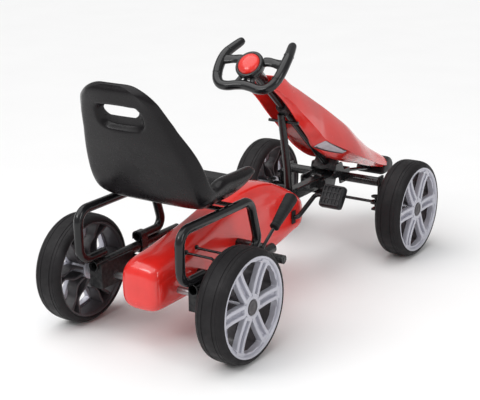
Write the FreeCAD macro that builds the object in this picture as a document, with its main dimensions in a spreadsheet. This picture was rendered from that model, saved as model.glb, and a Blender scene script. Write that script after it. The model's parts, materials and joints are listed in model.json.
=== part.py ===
import FreeCAD, Part
import math
import os
import Sketcher
from FreeCAD import Placement, Rotation, Vector

# Pedal go kart for children.  +Z is up, +Y is forwards, +X is the rider's right.
# The origin is on the ground under the middle of the kart's length.  Inside the
# sheet and the sketches, "y" is measured forwards from the rear axle; every
# sub-part is then moved back by origin_shift with its Placement.

DIMENSIONS = {
    # whole kart
    "wheelbase": 810,
    "track": 450,
    "axle_height": 130,
    "nose_reach": 1085,
    "origin_shift": 470,
    # wheels
    "tyre_dia": 260,
    "tyre_width": 74,
    "rim_dia": 228,
    "rim_lip": 6,
    "hub_dia": 54,
    "hub_face": 29,
    "cap_dia": 35,
    "spoke_gap": 12,
    "spoke_width": 9,
    "axle_dia": 16,
    "collar_dia": 24,
    "running_fit": 0.05,
    "clearance": 0.3,
    # welded frame
    "rail_spacing": 280,
    "rail_dia": 25,
    "rail_height": 165,
    "rail_rear": -58,
    "rail_front": 262,
    "tube_wall": 1.5,
    "backbone_size": 30,
    "backbone_rear": 102,
    "backbone_front": 725,
    "plate_thick": 5,
    "beam_height": 190,
    "kingpin_spacing": 330,
    "kingpin_dia": 10,
    # drive
    "crank_ahead": 505,
    "crank_height": 158,
    "crank_arm": 102,
    "crank_dia": 12,
    "crank_rise": 22.8,
    "chain_pitch": 12.7,
    "chain_line": 24,
    "chainring_teeth": 22,
    "sprocket_teeth": 16,
    "sprocket_thick": 3,
    "pedal_width": 62,
    "pedal_length": 62,
    "pedal_thick": 28,
    "pedal_tilt": 55,
    "case_half_width": 52,
    "case_bulge": 58,
    "shell_wall": 2.5,
    # steering
    "column_dia": 20,
    "column_angle": 41.8,
    "column_length": 532,
    "wheel_hub_ahead": 392,
    "wheel_hub_height": 564,
    "grip_dia": 26,
    "grip_half": 88,
    "hub_boss_dia": 74,
    "button_dia": 57,
    "pitman_reach": 72,
    "tie_rod_dia": 8,
    # seat
    "hoop_dia": 22,
    "hoop_top": 308,
    "hoop_bend": 32,
}

doc = FreeCAD.newDocument("PedalGoKart")
sheet = doc.addObject("Spreadsheet::Sheet", "Sizes")


class Dim:
    """A size that knows its present value and the sheet expression behind it."""

    def __init__(self, value, text):
        self.value = float(value)
        self.text = text

    def __add__(self, other):
        other = dim(other)
        return Dim(self.value + other.value, f"({self.text} + {other.text})")

    def __sub__(self, other):
        other = dim(other)
        return Dim(self.value - other.value, f"({self.text} - {other.text})")

    def __mul__(self, other):
        other = dim(other)
        return Dim(self.value * other.value, f"({self.text} * {other.text})")

    def __truediv__(self, other):
        other = dim(other)
        return Dim(self.value / other.value, f"({self.text} / {other.text})")

    def __radd__(self, other):
        return dim(other) + self

    def __rsub__(self, other):
        return dim(other) - self

    def __rmul__(self, other):
        return dim(other) * self

    def __rtruediv__(self, other):
        return dim(other) / self

    def __neg__(self):
        return Dim(-self.value, f"(0 - {self.text})")


def dim(size):
    """Turns a plain number into a Dim; a Dim passes through."""
    if isinstance(size, Dim):
        return size
    text = f"{float(size):.8g}" if size >= 0 else f"(0 - {float(-size):.8g})"
    return Dim(size, text)


def trig(name, angle):
    """Sine or cosine of an angle in degrees, as a Dim."""
    turn = getattr(math, name)(math.radians(angle.value))
    return Dim(turn, f"{name}({angle.text} * 1 deg)")


class Sheet:
    """Reads like a record: S.wheelbase is the Dim of that cell."""


S = Sheet()
for row, (alias, value) in enumerate(DIMENSIONS.items(), 1):
    sheet.set(f"A{row}", alias)
    sheet.set(f"B{row}", str(value))
    sheet.setAlias(f"B{row}", alias)
    setattr(S, alias, Dim(value, f"Sizes.{alias}"))
doc.recompute()

AXES = {"x": Vector(1, 0, 0), "y": Vector(0, 1, 0), "z": Vector(0, 0, 1)}
SIDES = {"left": -1, "right": 1}
nodes = []


# ---------------------------------------------------------------- small tools

def bind(item, path, size):
    """Drives a property from the sheet, or sets it when the size is a plain number."""
    item.setExpression(path, dim(size).text)


def locate(item, x=0, y=0, z=0):
    for axis, size in zip("xyz", (x, y, z)):
        bind(item, f"Placement.Base.{axis}", size)
    return item


def turn_to(item, axis):
    """Points an item's own Z axis along the axis named."""
    turn = Rotation(Vector(0, 0, 1), AXES[axis])
    item.Placement = Placement(Vector(), turn)
    return item


def node(item, label, x=0, y=0, z=0):
    """Names a finished sub-part and moves it from rear-axle to kart coordinates."""
    item.Label = label
    locate(item, x, dim(y) - S.origin_shift, z)
    nodes.append(item)
    return item


def cylinder(name, radius, length, axis, x=0, y=0, z=0):
    item = doc.addObject("Part::Cylinder", name)
    turn_to(item, axis)
    bind(item, "Radius", radius)
    bind(item, "Height", length)
    return locate(item, x, y, z)


def cone(name, radius, end_radius, length, axis, x=0, y=0, z=0):
    item = doc.addObject("Part::Cone", name)
    turn_to(item, axis)
    bind(item, "Radius1", radius)
    bind(item, "Radius2", end_radius)
    bind(item, "Height", length)
    return locate(item, x, y, z)


def block(name, size, x=0, y=0, z=0):
    item = doc.addObject("Part::Box", name)
    for side, length in zip(("Length", "Width", "Height"), size):
        bind(item, side, length)
    return locate(item, x, y, z)


def fuse(name, *pieces):
    item = doc.addObject("Part::MultiFuse", name)
    item.Shapes = list(pieces)
    return item


def cut(name, base, *tools):
    item = doc.addObject("Part::Cut", name)
    item.Base = base
    item.Tool = tools[0] if len(tools) == 1 else fuse(name + "_tools", *tools)
    return item


def group(name, *pieces):
    """Identical pieces kept as separate solids in one node."""
    item = doc.addObject("Part::Compound", name)
    item.Links = list(pieces)
    return item


def tube(name, radius, bore, length, axis, x=0, y=0, z=0):
    outer = cylinder(name + "_outer", radius, length, axis, x, y, z)
    inner = cylinder(name + "_bore", bore, length, axis, x, y, z)
    return cut(name, outer, inner)


def new_body(name):
    return doc.addObject("PartDesign::Body", name)


def origin_item(body, role):
    return next(item for item in body.Origin.OriginFeatures if item.Role == role)


def sketch_on(body, name, plane, offset=0, tilt=0, rise=0):
    """A sketch on an origin plane, moved along its normal, lifted by rise and tilted about X."""
    sketch = body.newObject("Sketcher::SketchObject", name)
    sketch.AttachmentSupport = [(origin_item(body, plane), "")]
    sketch.MapMode = "FlatFace"
    sketch.AttachmentOffset = Placement(Vector(), Rotation(Vector(1, 0, 0), tilt))
    bind(sketch, "AttachmentOffset.Base.z", offset)
    bind(sketch, "AttachmentOffset.Base.y", rise)
    return sketch


def corner_ends(points, radii, closed):
    """For each corner: where the line before stops, where the next starts, and the arc's middle."""
    ends = []
    last = len(points) - 1
    for i, point in enumerate(points):
        if radii[i] is None or (not closed and i in (0, last)):
            ends.append((point, point, None))
            continue
        back = (points[i - 1] - point).normalize()
        ahead = (points[(i + 1) % len(points)] - point).normalize()
        turn = math.acos(max(-1, min(1, back.dot(ahead)))) / 2
        reach = radii[i].value / math.tan(turn)
        middle = (back + ahead).normalize()
        depth = radii[i].value / math.sin(turn) - radii[i].value
        ends.append((point + back * reach, point + ahead * reach, point + middle * depth))
    return ends


def outline(sketch, corners, closed=True):
    """Draws straight runs joined by tangent arcs, fully constrained and bound to the sheet.

    A corner is (x, y) or (x, y, radius); each number may be a Dim."""
    sizes = [(dim(corner[0]), dim(corner[1])) for corner in corners]
    radii = [dim(corner[2]) if len(corner) > 2 else None for corner in corners]
    points = [Vector(x.value, y.value, 0) for x, y in sizes]
    ends = corner_ends(points, radii, closed)
    total = len(points)
    lines = []
    for i in range(total if closed else total - 1):
        run = Part.LineSegment(ends[i][1], ends[(i + 1) % total][0])
        lines.append(sketch.addGeometry(run, False))
    rules = []
    driven = []

    def fix(shape, end, x, y):
        for kind, size in (("DistanceX", x), ("DistanceY", y)):
            driven.append((len(rules), size))
            rules.append(Sketcher.Constraint(kind, -1, 1, shape, end, size.value))

    for i in range(total):
        before = lines[i - 1] if closed or i > 0 else None
        after = lines[i] if closed or i < total - 1 else None
        start, _, middle = ends[i]
        if middle is None:
            if before is not None and after is not None:
                rules.append(Sketcher.Constraint("Coincident", before, 2, after, 1))
            if after is not None:
                fix(after, 1, *sizes[i])
            else:
                fix(before, 2, *sizes[i])
            continue
        arc = sketch.addGeometry(Part.Arc(start, middle, ends[i][1]), False)
        first = 1 if sketch.getPoint(arc, 1).distanceToPoint(start) < 1e-4 else 2
        tip = sketch.addGeometry(Part.Point(points[i]), True)
        fix(tip, 1, *sizes[i])
        rules.append(Sketcher.Constraint("Tangent", before, 2, arc, first))
        rules.append(Sketcher.Constraint("Tangent", arc, 3 - first, after, 1))
        rules.append(Sketcher.Constraint("PointOnObject", tip, 1, before))
        rules.append(Sketcher.Constraint("PointOnObject", tip, 1, after))
        driven.append((len(rules), radii[i]))
        rules.append(Sketcher.Constraint("Radius", arc, radii[i].value))
    offset = sketch.ConstraintCount
    sketch.addConstraint(rules)
    for index, size in driven:
        if "Sizes" in size.text:
            sketch.setExpression(f"Constraints[{offset + index}]", size.text)
    return sketch


def circle(sketch, radius, x=0, y=0):
    x, y, radius = dim(x), dim(y), dim(radius)
    ring = sketch.addGeometry(Part.Circle(Vector(x.value, y.value, 0), Vector(0, 0, 1), radius.value), False)
    for kind, size in (("DistanceX", x), ("DistanceY", y)):
        index = sketch.addConstraint(Sketcher.Constraint(kind, -1, 1, ring, 3, size.value))
        sketch.setExpression(f"Constraints[{index}]", size.text)
    index = sketch.addConstraint(Sketcher.Constraint("Radius", ring, radius.value))
    sketch.setExpression(f"Constraints[{index}]", radius.text)
    return sketch


def pad(body, sketch, length, both_ways=False, backwards=False):
    feature = body.newObject("PartDesign::Pad", sketch.Name + "_pad")
    feature.Profile = sketch
    feature.SideType = "Symmetric" if both_ways else "One side"
    feature.Reversed = backwards
    bind(feature, "Length", length)
    return feature


def pocket(body, sketch, depth, both_ways=False, backwards=False):
    """Cuts a pocket and makes sure that it has taken material away."""
    doc.recompute()
    before = body.Shape.Volume
    feature = body.newObject("PartDesign::Pocket", sketch.Name + "_pocket")
    feature.Profile = sketch
    feature.SideType = "Symmetric" if both_ways else "One side"
    feature.Reversed = backwards
    bind(feature, "Length", depth)
    doc.recompute()
    if body.Shape.Volume > before - 1:
        raise RuntimeError(f"{feature.Name} removes nothing")
    return feature


def revolve(body, sketch, axis="X_Axis"):
    feature = body.newObject("PartDesign::Revolution", sketch.Name + "_turned")
    feature.Profile = sketch
    feature.ReferenceAxis = (origin_item(body, axis), [""])
    feature.Angle = 360
    return feature


def polar(body, features, count, axis="X_Axis"):
    pattern = body.newObject("PartDesign::PolarPattern", features[0].Name + "_ring")
    pattern.Originals = features
    pattern.Axis = (origin_item(body, axis), [""])
    pattern.Angle = 360
    bind(pattern, "Occurrences", count)
    body.Tip = pattern
    return pattern


def bent_tube(name, corners, radius, bore=None, plane="YZ_Plane"):
    """A round bar or tube along straight runs and bends, started square to its first run."""
    body = new_body(name)
    spine = outline(sketch_on(body, name + "_spine", plane), corners, closed=False)
    doc.recompute()
    ring = body.newObject("Sketcher::SketchObject", name + "_ring")
    ring.AttachmentSupport = [(spine, "Edge1")]
    ring.MapMode = "NormalToEdge"
    circle(ring, radius)
    if bore is not None:
        circle(ring, bore)
    pipe = body.newObject("PartDesign::AdditivePipe", name + "_pipe")
    pipe.Profile = ring
    pipe.Spine = (spine, [f"Edge{i + 1}" for i in range(len(spine.Shape.Edges))])
    return body


def loft(name, sections):
    """A closed skin through outlines that each stand across the kart.

    A section is (y, z, tilt, corners): its origin, its lean forwards in degrees, its outline."""
    body = new_body(name)
    stations = []
    for i, (y, z, tilt, corners) in enumerate(sections):
        sketch = sketch_on(body, f"{name}_station{i}", "XZ_Plane", -dim(y), -tilt, z)
        stations.append(outline(sketch, corners))
    skin = body.newObject("PartDesign::AdditiveLoft", name + "_skin")
    skin.Profile = stations[0]
    skin.Sections = stations[1:]
    skin.Ruled = True
    return body


# ---------------------------------------------------------------- welded frame

def half(size):
    return size / 2


rail_x = half(S.rail_spacing)
rail_radius = half(S.rail_dia)
rail_top = S.rail_height + rail_radius
backbone_floor = rail_top
backbone_middle = backbone_floor + half(S.backbone_size)
kingpin_x = half(S.kingpin_spacing)
bracket_inside = S.backbone_size / 2 + 19
bracket_outside = bracket_inside + S.plate_thick
yoke_inside = kingpin_x - 24


def make_backbone():
    body = new_body("backbone")
    sketch = sketch_on(body, "backbone_section", "XZ_Plane", -S.backbone_rear)
    for inset in (dim(0), dim(2)):
        edge = half(S.backbone_size) - inset
        low = backbone_middle - edge
        high = backbone_middle + edge
        bend = 4 - inset
        outline(sketch, [(-edge, low, bend), (edge, low, bend), (edge, high, bend), (-edge, high, bend)])
    pad(body, sketch, S.backbone_front - S.backbone_rear, backwards=True)
    node(body, "backbone_tube")


def make_rails():
    length = S.rail_front - S.rail_rear
    for side, sign in SIDES.items():
        rail = tube(f"rail_{side}", rail_radius, rail_radius - S.tube_wall, length, "y",
                    rail_x * sign, S.rail_rear, S.rail_height)
        node(rail, f"side_rail_{side}")


def make_cross_tubes():
    bore = rail_radius - S.tube_wall
    reach = rail_x - rail_radius - 0.1
    front = tube("front_cross", rail_radius, bore, reach * 2, "x", -reach, S.rail_front - 14, S.rail_height)
    node(front, "cross_tube_front")
    reach = rail_x + 10
    low = S.rail_height - S.rail_dia
    rear = tube("rear_cross", rail_radius, bore, reach * 2, "x", -reach, 85, low)
    gusset = block("rear_gusset", (S.backbone_size, S.plate_thick, backbone_floor - low),
                   -half(S.backbone_size), S.backbone_rear - S.plate_thick, low)
    trimmed = cut("rear_gusset_coped", gusset,
                  cylinder("gusset_cope", rail_radius, S.backbone_size * 2, "x", -S.backbone_size, 85, low))
    foot = block("gusset_tongue", (S.backbone_size, 14, S.plate_thick), -half(S.backbone_size),
                 S.backbone_rear - S.plate_thick, backbone_floor - S.plate_thick)
    node(fuse("rear_cross_welded", rear, trimmed, foot), "cross_tube_rear")


def make_front_bracket():
    """Two cheeks and a front plate welded round the end of the backbone.

    The cheeks are notched below so that the pitman plate can swing."""
    body = new_body("bracket_cheek_pair")
    low = backbone_floor + 0.5
    cheeks = [(690, low), (690, 212, 6), (742, 212, 6), (750, 238, 4), (782, 238, 4), (792, 214, 6),
              (825, 214), (825, low), (776, low), (770, 199, 4), (748, 199, 4), (740, low)]
    sketch = outline(sketch_on(body, "bracket_cheeks", "YZ_Plane"), cheeks)
    pad(body, sketch, bracket_outside * 2, both_ways=True)
    gap = [(680, 150), (820, 150), (820, 250), (680, 250)]
    inside = outline(sketch_on(body, "bracket_gap", "YZ_Plane"), gap)
    pocket(body, inside, bracket_inside * 2, both_ways=True)
    spacers = []
    for side, sign in SIDES.items():
        width = bracket_inside - half(S.backbone_size)
        start = half(S.backbone_size) if sign > 0 else -bracket_inside
        spacers.append(block(f"spacer_{side}", (width, 28, 22), start, 694, backbone_floor + 4))
    node(fuse("bracket_welded", body, *spacers), "front_bracket")
    pieces = []
    for side, sign in SIDES.items():
        start = bracket_outside if sign > 0 else -yoke_inside
        pieces.append(tube(f"beam_{side}", rail_radius, rail_radius - S.tube_wall, yoke_inside - bracket_outside,
                           "x", start, S.wheelbase - 4, S.beam_height))
    node(group("beam_halves", *pieces), "front_beam")


def make_yokes():
    """C-shaped brackets at the beam ends that hold the kingpins."""
    pins = []
    for side, sign in SIDES.items():
        body = new_body(f"yoke_{side}")
        web = yoke_inside * sign
        back = (yoke_inside + S.plate_thick) * sign
        tip = (kingpin_x + 15) * sign
        section = [(web, 82), (tip, 82), (tip, 87), (back, 87), (back, 173), (tip, 173), (tip, 178), (back, 178),
                   (back, 206), (web, 206)]
        sketch = outline(sketch_on(body, f"yoke_{side}_section", "XZ_Plane", -S.wheelbase), section)
        pad(body, sketch, 26, both_ways=True)
        hole = circle(sketch_on(body, f"yoke_{side}_hole", "XY_Plane", 60), half(S.kingpin_dia), kingpin_x * sign,
                      S.wheelbase)
        pocket(body, hole, 130, backwards=True)
        node(body, f"kingpin_yoke_{side}")
        shank = cylinder(f"pin_{side}", half(S.kingpin_dia), 104, "z", kingpin_x * sign, S.wheelbase, 79)
        head = cylinder(f"pin_head_{side}", 8, 5, "z", kingpin_x * sign, S.wheelbase, 178)
        pins.append(fuse(f"kingpin_{side}", shank, head))
    node(group("kingpin_pair", *pins), "kingpins")


def make_stays():
    """Two thin rods bolted through the case on the right that steady it from the rail."""
    rods = []
    inside = S.case_half_width - S.shell_wall
    drop = rail_x - rail_radius - 3.1
    rise = rail_top + 24
    for ahead, foot in ((45, 170.1), (85, 161)):
        path = [(inside - 1, rise), (drop, rise, 8), (drop, foot)]
        rod = locate(bent_tube(f"stay_{ahead}", path, dim(3), plane="XZ_Plane"), 0, ahead, 0)
        head = cylinder(f"stay_{ahead}_head", 7, 3, "x", inside - 3.1, ahead, rise)
        rods.append(fuse(f"stay_{ahead}_bolted", rod, head))
    node(group("stay_rod_pair", *rods), "stay_rods")


make_backbone()
make_rails()
make_cross_tubes()
make_front_bracket()
make_yokes()


# ---------------------------------------------------------------- rear axle, bearings and wheels

def make_bearing_housings():
    bolts = []
    for side, sign in SIDES.items():
        width = 36
        low = rail_x * sign - width / 2
        shell = block(f"housing_{side}_block", (width, 115, 60), low, -50, 110)
        groove = cylinder(f"housing_{side}_groove", rail_radius, 140, "y", rail_x * sign, -60, S.rail_height)
        mouth = block(f"housing_{side}_mouth", (S.rail_dia, 140, 40), rail_x * sign - rail_radius, -60,
                      S.rail_height)
        bore = cylinder(f"housing_{side}_bore", half(S.collar_dia), width + 20, "x", low - 10, 0, S.axle_height)
        node(cut(f"housing_{side}", shell, groove, mouth, bore), f"bearing_housing_{side}")
        for ahead in (-30, 20, 52):
            start = rail_x * sign + (width / 2 if sign > 0 else -width / 2 - 4)
            bolts.append(cylinder(f"bolt_{side}_{ahead + 30}", 5, 4, "x", start, ahead, 143))
    bushes = []
    for side, sign in SIDES.items():
        bushes.append(tube(f"bush_{side}", half(S.collar_dia), half(S.axle_dia) + S.running_fit, 36, "x",
                           rail_x * sign - 18, 0, S.axle_height))
    node(group("axle_bush_pair", *bushes), "axle_bushes")
    node(group("bolt_set", *bolts), "housing_bolts")


def make_rear_axle():
    reach = half(S.track) + S.hub_face
    shaft = cylinder("axle_shaft", half(S.axle_dia), reach * 2, "x", -reach, 0, S.axle_height)
    collars = []
    for side, sign in SIDES.items():
        inner = rail_x + 18.5
        outer = half(S.track) - 28.3
        start = inner if sign > 0 else -outer
        collars.append(cylinder(f"axle_collar_{side}", half(S.collar_dia), outer - inner, "x", start, 0,
                                S.axle_height))
    node(fuse("axle_assembly", shaft, *collars), "rear_axle")


def make_wheel(name, label, ahead, sign):
    """A rim with six pairs of twin spokes, a foam tyre and a hub cap, built about its own axle."""
    rim_radius = half(S.rim_dia)
    bore = half(S.axle_dia) + S.running_fit
    hub = half(S.hub_dia)
    face = S.hub_face
    lip = rim_radius - S.rim_lip
    wide = half(S.tyre_width)
    body = new_body(f"rim_{name}")
    profile = [(-28, bore), (face, bore), (face, hub), (face - 4, lip - 4), (wide - 1, lip), (wide - 1, rim_radius),
               (3 - wide, rim_radius), (3 - wide, lip), (face - 15, lip - 2), (face - 12, hub), (-28, hub - 3)]
    revolve(body, outline(sketch_on(body, f"rim_{name}_profile", "XY_Plane"), profile))
    flank = half(S.spoke_gap) + S.spoke_width
    apex = flank * 2 + 6
    far = lip - 14
    window = [(apex, 0, 3), (far, 36.5, 6), (lip - 7, 0), (far, -36.5, 6)]
    opening = outline(sketch_on(body, f"rim_{name}_window", "YZ_Plane"), window)
    through = pocket(body, opening, 60, backwards=True)
    polar(body, [through], 6)
    doc.recompute()
    channel_sketch = sketch_on(body, f"rim_{name}_channel", "YZ_Plane", face + 2)
    groove = half(S.spoke_gap)
    channel_sketch.AttachmentOffset = Placement(Vector(), Rotation(Vector(0, 0, 1), 30))
    bind(channel_sketch, "AttachmentOffset.Base.z", face + 2)
    outline(channel_sketch, [(hub + 3, -groove, 2), (lip - 8, -groove, 2), (lip - 8, groove, 2), (hub + 3, groove, 2)])
    channel = pocket(body, channel_sketch, 9)
    polar(body, [channel], 6)
    node(body, f"rim_{label}", half(S.track) * sign, ahead, S.axle_height)

    tyre = new_body(f"tyre_{name}")
    outer = half(S.tyre_dia)
    seat = rim_radius + 0.1
    section = [(-wide, seat + 3), (4 - wide, seat), (wide - 4, seat), (wide, seat + 3), (wide, outer - 9, 5),
               (wide - 7, outer - 1, 6), (wide - 16, outer), (16 - wide, outer), (7 - wide, outer - 1, 6),
               (-wide, outer - 9, 5)]
    revolve(tyre, outline(sketch_on(tyre, f"tyre_{name}_profile", "XY_Plane"), section))
    node(tyre, f"tyre_{label}", half(S.track) * sign, ahead, S.axle_height)

    disc = cylinder(f"cap_disc_{name}", half(S.cap_dia), 2.5, "x", face, 0, 0)
    dome = cone(f"cap_dome_{name}", half(S.cap_dia), half(S.cap_dia) - 3, 1.5, "x", face + 2.5, 0, 0)
    cap = fuse(f"cap_{name}", disc, dome)
    node(cap, f"hub_cap_{label}", half(S.track) * sign, ahead, S.axle_height)
    if sign < 0:
        for item in (body, tyre, cap):
            item.Placement = Placement(item.Placement.Base, Rotation(Vector(0, 0, 1), 180))


make_bearing_housings()
make_stays()
make_rear_axle()
for end, ahead in (("rear", dim(0)), ("front", S.wheelbase)):
    for side, sign in SIDES.items():
        make_wheel(f"{end[0]}{side[0]}", f"{end}_{side}", ahead, sign)


# ---------------------------------------------------------------- pedals, chain and case

crank_shell_radius = backbone_floor - S.crank_height


def pitch_radius(teeth):
    """Radius at which the chain's pins ride round a sprocket."""
    return S.chain_pitch / (trig("sin", 180 / teeth) * 2)


def make_sprocket(label, teeth, hub_radius, bore, ahead, height):
    body = new_body(label)
    ring = pitch_radius(teeth)
    root = ring - 3.9
    disc = sketch_on(body, f"{label}_disc", "YZ_Plane", S.chain_line)
    pad(body, circle(circle(disc, root), bore), S.sprocket_thick, both_ways=True)
    hub = sketch_on(body, f"{label}_hub", "YZ_Plane", S.chain_line - 8)
    pad(body, circle(circle(hub, hub_radius), bore), dim(14))
    tooth = [(root - 1, -3.4), (ring - 0.5, -2.2), (ring + 3, -0.9), (ring + 3, 0.9), (ring - 0.5, 2.2),
             (root - 1, 3.4)]
    shape = outline(sketch_on(body, f"{label}_tooth", "YZ_Plane", S.chain_line), tooth)
    polar(body, [pad(body, shape, S.sprocket_thick, both_ways=True)], teeth)
    node(body, label, 0, ahead, height)


def make_crank():
    shell = tube("crank_shell_tube", crank_shell_radius, crank_shell_radius - 4, 50, "x", -38, S.crank_ahead,
                 S.crank_height)
    node(shell, "crank_shell")
    bushes = []
    for side, start in (("left", -37.9), ("right", 2)):
        bushes.append(tube(f"crank_bush_{side}", crank_shell_radius - 4, half(S.crank_dia) + S.running_fit, 9.9,
                           "x", start, S.crank_ahead, S.crank_height))
    node(group("crank_bush_pair", *bushes), "crank_bushes")
    arm_x = S.case_half_width + 11
    pedal_end = arm_x + 22 + S.pedal_width
    path = [(-pedal_end, -S.crank_arm), (-arm_x, -S.crank_arm, 12), (-arm_x, 0, 12), (arm_x, 0, 12),
            (arm_x, S.crank_arm, 12), (pedal_end, S.crank_arm)]
    bar = bent_tube("crank_bar", path, half(S.crank_dia), plane="XY_Plane")
    bar.Placement = Placement(Vector(), Rotation(Vector(1, 0, 0), S.crank_rise.value))
    bind(bar, "Placement.Rotation.Angle", S.crank_rise)
    node(bar, "crank", 0, S.crank_ahead, S.crank_height)
    reach = S.crank_arm * trig("cos", S.crank_rise)
    climb = S.crank_arm * trig("sin", S.crank_rise)
    for side, sign in SIDES.items():
        make_pedal(side, (arm_x + 20) * sign, S.crank_ahead + reach * sign, S.crank_height + climb * sign, sign)


def make_pedal(side, inner, ahead, height, sign):
    body = new_body(f"pedal_{side}_block")
    deep = half(S.pedal_length)
    thick = half(S.pedal_thick)
    section = [(-deep, 4 - thick, 5), (8 - deep, -thick, 5), (deep - 8, -thick, 5), (deep, 4 - thick, 5),
               (deep, thick - 4, 5), (deep - 8, thick, 5), (8 - deep, thick, 5), (-deep, thick - 4, 5)]
    block_sketch = outline(sketch_on(body, f"pedal_{side}_section", "YZ_Plane"), section)
    pad(body, block_sketch, S.pedal_width, backwards=sign < 0)
    bore = circle(sketch_on(body, f"pedal_{side}_bore", "YZ_Plane"), half(S.crank_dia) + S.running_fit)
    pocket(body, bore, S.pedal_width * 3, both_ways=True)
    for i in range(5):
        rib = outline(sketch_on(body, f"pedal_{side}_groove{i}", "YZ_Plane", (7 + 12 * i) * sign),
                      [(-deep - 1, thick - 2), (deep + 1, thick - 2), (deep + 1, thick + 2), (-deep - 1, thick + 2)])
        pocket(body, rib, 5, both_ways=True)
    body.Placement = Placement(Vector(), Rotation(Vector(1, 0, 0), S.pedal_tilt.value))
    bind(body, "Placement.Rotation.Angle", S.pedal_tilt)
    node(body, f"pedal_{side}", inner, ahead, height)


def make_chain():
    """Side plates follow the whole loop; rollers are shown only on the two straight runs."""
    big = pitch_radius(S.chainring_teeth)
    small = pitch_radius(S.sprocket_teeth)
    front = Vector(0, S.crank_ahead.value, S.crank_height.value)
    rear = Vector(0, 0, S.axle_height.value)
    along = front - rear
    spread = along.Length
    slope = math.atan2(along.z, along.y)
    lean = math.asin((big.value - small.value) / spread)
    runs = []
    for sign in (1, -1):
        turn = slope + sign * (math.pi / 2 + lean)
        runs.append(Vector(0, math.cos(turn), math.sin(turn)))

    def loop(offset, low, high):
        """The racetrack round both sprockets at a distance from the pitch line."""
        corners = [rear + runs[0] * (small.value + offset), front + runs[0] * (big.value + offset),
                   front + runs[1] * (big.value + offset), rear + runs[1] * (small.value + offset)]
        nose = front + along.normalize() * (big.value + offset)
        tail = rear - Vector(along).normalize() * (small.value + offset)
        edges = [Part.LineSegment(corners[0], corners[1]).toShape(), Part.Arc(corners[1], nose, corners[2]).toShape(),
                 Part.LineSegment(corners[2], corners[3]).toShape(), Part.Arc(corners[3], tail, corners[0]).toShape()]
        face = Part.Face(Part.Wire(edges))
        face.translate(Vector(low, 0, 0))
        return face.extrude(Vector(high - low, 0, 0))

    line = S.chain_line.value
    solid = None
    for low, high in ((line - 3.2, line - 2.2), (line + 2.2, line + 3.2)):
        plate = loop(4, low, high).cut(loop(-4, low - 1, high + 1))
        solid = plate if solid is None else solid.fuse(plate)
    for direction in runs:
        start = rear + direction * small.value
        finish = front + direction * big.value
        run = finish - start
        pitch = S.chain_pitch.value
        clear = 5
        for i in range(clear, int(run.Length / pitch) - clear + 1):
            pin = start + Vector(run).normalize() * (i * pitch)
            roller = Part.makeCylinder(3.8, 4.4, pin + Vector(line - 2.2, 0, 0), Vector(1, 0, 0))
            solid = solid.fuse(roller)
    item = doc.addObject("Part::Feature", "chain_loop")
    item.Shape = solid
    node(item, "chain")


def case_outline(inset=0):
    """Side view of the chain case, from its rear end round over the top."""
    return [(inset - 70, 86 + inset, 28), (inset - 70, 204 - inset, 46), (20, 213 - inset, 100),
            (140, 235 - inset, 200), (300, 278 - inset, 160), (420, 272 - inset, 80), (505, 232 - inset, 50),
            (572 - inset, 190 - inset, 12), (572 - inset, 118 + inset, 12), (520, 107 + inset, 40),
            (440, 86 + inset, 40)]


def bulge_outline(inset=0):
    """The wider rear end of the case that covers the driven sprocket."""
    return [(inset - 64, 92 + inset, 24), (inset - 64, 174 - inset, 34), (-24, 192 - inset, 30),
            (40, 186 - inset, 30), (72 - inset, 150, 25), (62 - inset, 92 + inset, 14)]


def make_case():
    """Two moulded halves that meet on the kart's centre line round the backbone, chain and crank."""
    wall = S.shell_wall
    for side, sign in SIDES.items():
        body = new_body(f"case_{side}")
        name = f"case_{side}"
        outside = outline(sketch_on(body, f"{name}_outline", "YZ_Plane", 0.1 * sign), case_outline())
        pad(body, outside, S.case_half_width - 0.1, backwards=sign < 0)
        bulge = outline(sketch_on(body, f"{name}_bulge", "YZ_Plane", 0.1 * sign), bulge_outline())
        pad(body, bulge, S.case_bulge - 0.1, backwards=sign < 0)
        hollow = outline(sketch_on(body, f"{name}_hollow", "YZ_Plane"), case_outline(2.5))
        pocket(body, hollow, S.case_half_width - wall, backwards=sign > 0)
        pouch = outline(sketch_on(body, f"{name}_pouch", "YZ_Plane"), bulge_outline(2.5))
        pocket(body, pouch, S.case_bulge - wall, backwards=sign > 0)
        holes = [(half(S.collar_dia), 0, S.axle_height), (half(S.crank_dia) + 4, S.crank_ahead, S.crank_height),
                 (rail_radius + 1, S.rail_front - 14, S.rail_height), (rail_radius + 1, 85, S.rail_height - S.rail_dia)]
        if sign > 0:
            holes += [(dim(3.2), 45, rail_top + 24), (dim(3.2), 85, rail_top + 24)]
        cuts = sketch_on(body, f"{name}_holes", "YZ_Plane")
        for radius, ahead, height in holes:
            circle(cuts, radius, ahead, height)
        pocket(body, cuts, 200, backwards=sign > 0)
        front = half(S.backbone_size) + 1
        slot = [(535, backbone_floor - 1), (580, backbone_floor - 1), (580, 245), (535, 245)]
        pocket(body, outline(sketch_on(body, f"{name}_exit", "YZ_Plane"), slot), front, backwards=sign > 0)
        node(body, f"chain_case_{side}")


make_crank()
make_sprocket("rear_sprocket", S.sprocket_teeth, 16, half(S.axle_dia), 0, S.axle_height)
make_sprocket("chainring", S.chainring_teeth, 14, half(S.crank_dia), S.crank_ahead, S.crank_height)
make_chain()
make_case()


# ---------------------------------------------------------------- steering

# In the steering parts' own frame the column runs along -Z from the hub, +X is
# the rider's right and +Y climbs the face of the steering wheel.
column_lean = 90 - S.column_angle
lean_cos = trig("cos", column_lean)
lean_sin = trig("sin", column_lean)


def node_on_column(item, label):
    """Tips a part built about the steering axis into its place on the kart."""
    item.Placement = Placement(Vector(), Rotation(Vector(1, 0, 0), column_lean.value))
    bind(item, "Placement.Rotation.Angle", column_lean)
    return node(item, label, 0, S.wheel_hub_ahead, S.wheel_hub_height)


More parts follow.
